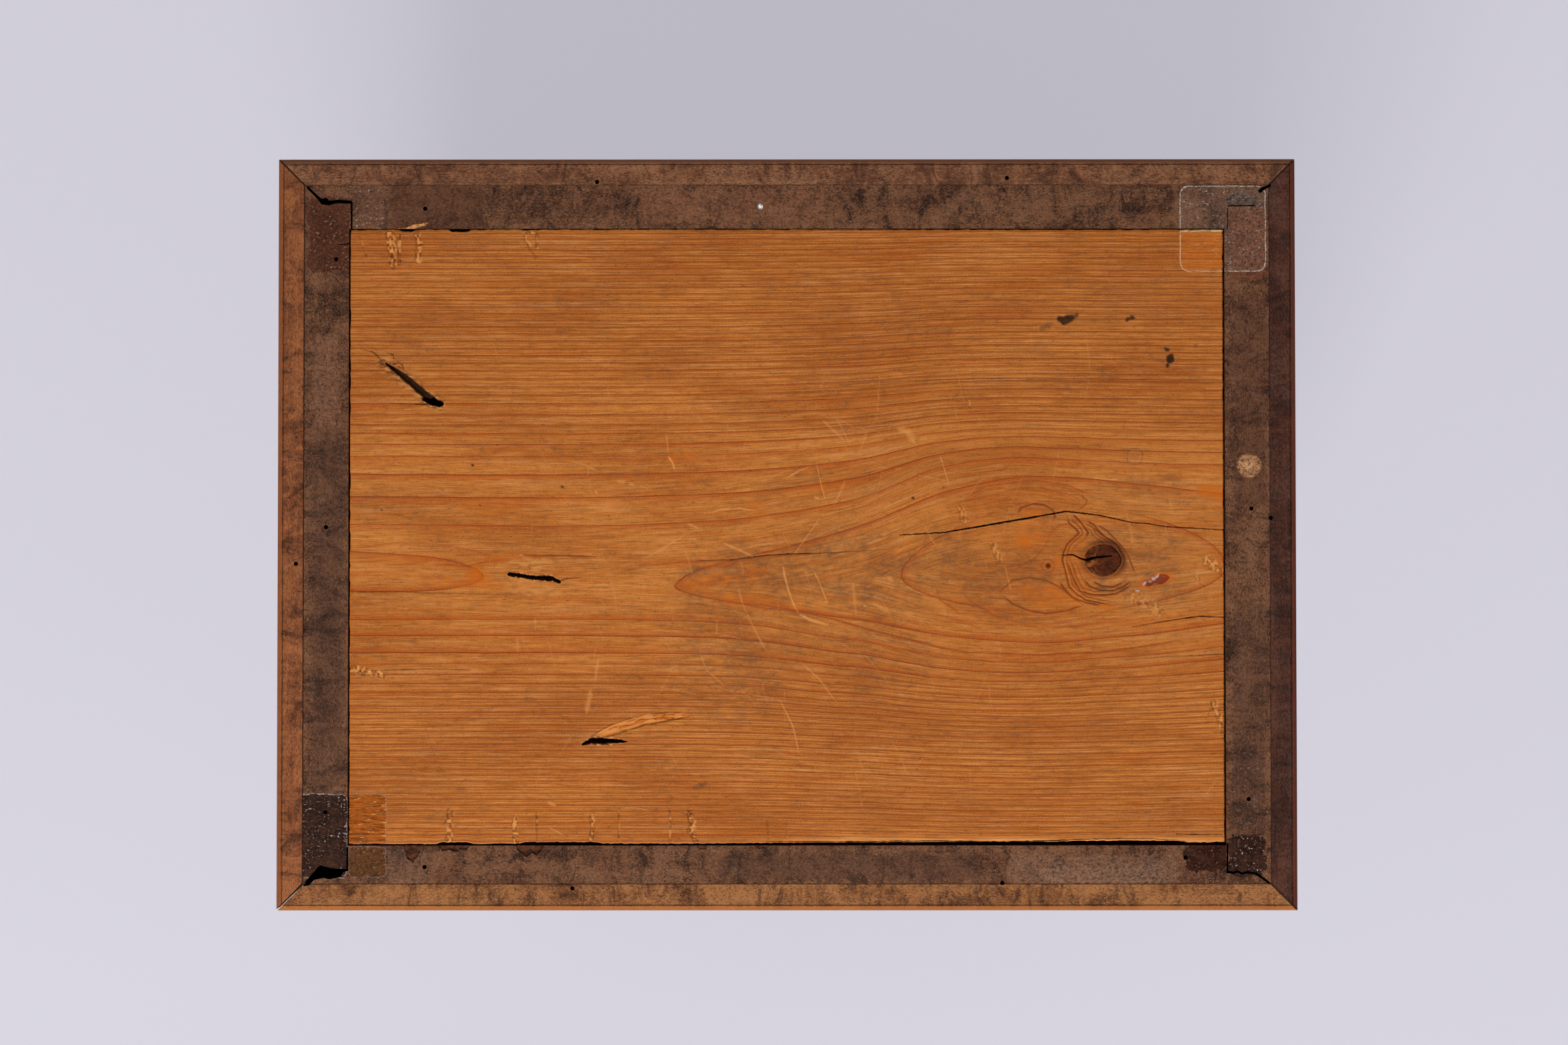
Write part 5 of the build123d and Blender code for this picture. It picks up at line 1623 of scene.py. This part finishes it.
# Short rays pass, so that the underside is lit, and so do long shadow rays, so that the backdrop is
def floorRules(tree, path, hidden):
    notCamera = minus(tree, 1.0, path["Is Camera Ray"])
    short = work(tree, "LESS_THAN", path["Ray Length"], stageForm["contact"])
    long = work(tree, "GREATER_THAN", path["Ray Length"], stageForm["passLength"])
    hidden = larger(tree, hidden, times(tree, notCamera, short))
    return larger(tree, hidden, times(tree, path["Is Shadow Ray"], long))


def backdropRules(tree, path, hidden):
    grazing = put(tree, "ShaderNodeLayerWeight", {"Blend": 0.5}).outputs["Facing"]
    hidden = larger(tree, hidden, between(tree, grazing, *stageForm["backdropGrazing"]))
    return larger(tree, hidden, minus(tree, 1.0, path["Is Camera Ray"]))


floorPaint = stageMaterial("floorPaint", stageForm["floorTone"], stageForm["floorFade"], floorRules)
backdropPaint = stageMaterial("backdropPaint", stageForm["backdropTone"], stageForm["backdropFade"],
                              backdropRules, stageForm["backdropGlow"])
stagePlane("floor", stageForm["floorHalf"], -stageForm["floorDrop"], False, floorPaint)
stagePlane("backdrop", stageForm["backdropHalf"], stageForm["backdropHeight"], True, backdropPaint)

world = bpy.data.worlds.new("studio")
bpy.context.scene.world = world
world.use_nodes = True
sky = world.node_tree
sky.nodes.clear()
skyPath = put(sky, "ShaderNodeLightPath")
skyLit = put(sky, "ShaderNodeBackground", {"Color": (*stageForm["skyLight"], 1.0),
                                           "Strength": stageForm["skyStrength"]})
skySeen = put(sky, "ShaderNodeBackground", {"Color": fromPaint(*stageForm["skyTone"]), "Strength": 1.0})
skyMix = put(sky, "ShaderNodeMixShader", {0: skyPath.outputs["Is Camera Ray"], 1: skyLit.outputs[0],
                                          2: skySeen.outputs[0]})
put(sky, "ShaderNodeOutputWorld", {0: skyMix.outputs[0]})

# Soft boxes, below for the underside and above for the upright box
lamps = {
    "lowKey": {"place": (0.12, -1.0, -0.95), "aim": (0, 0, 0.05), "size": 0.34, "power": 18.5},
    "lowFill": {"place": (0.2, 0.7, -1.3), "aim": (0, 0, 0.05), "size": 1.0, "power": 4},
    "highKey": {"place": (-0.9, -1.1, 1.3), "aim": (0, 0, 0.06), "size": 0.8, "power": 20},
    "highFill": {"place": (1.3, -0.5, 0.9), "aim": (0, 0, 0.06), "size": 1.0, "power": 9},
    "highBack": {"place": (0.3, 1.3, 1.1), "aim": (0, 0, 0.06), "size": 1.0, "power": 11},
}
for name, lamp in lamps.items():
    data = bpy.data.lights.new(name, "AREA")
    data.shape = "SQUARE"
    data.size = lamp["size"]
    data.energy = lamp["power"]
    light = bpy.data.objects.new(name, data)
    bpy.context.scene.collection.objects.link(light)
    light.location = lamp["place"]
    light.rotation_euler = (Vector(lamp["aim"]) - Vector(lamp["place"])).to_track_quat("-Z", "Y").to_euler()
print("stage and lamps set")
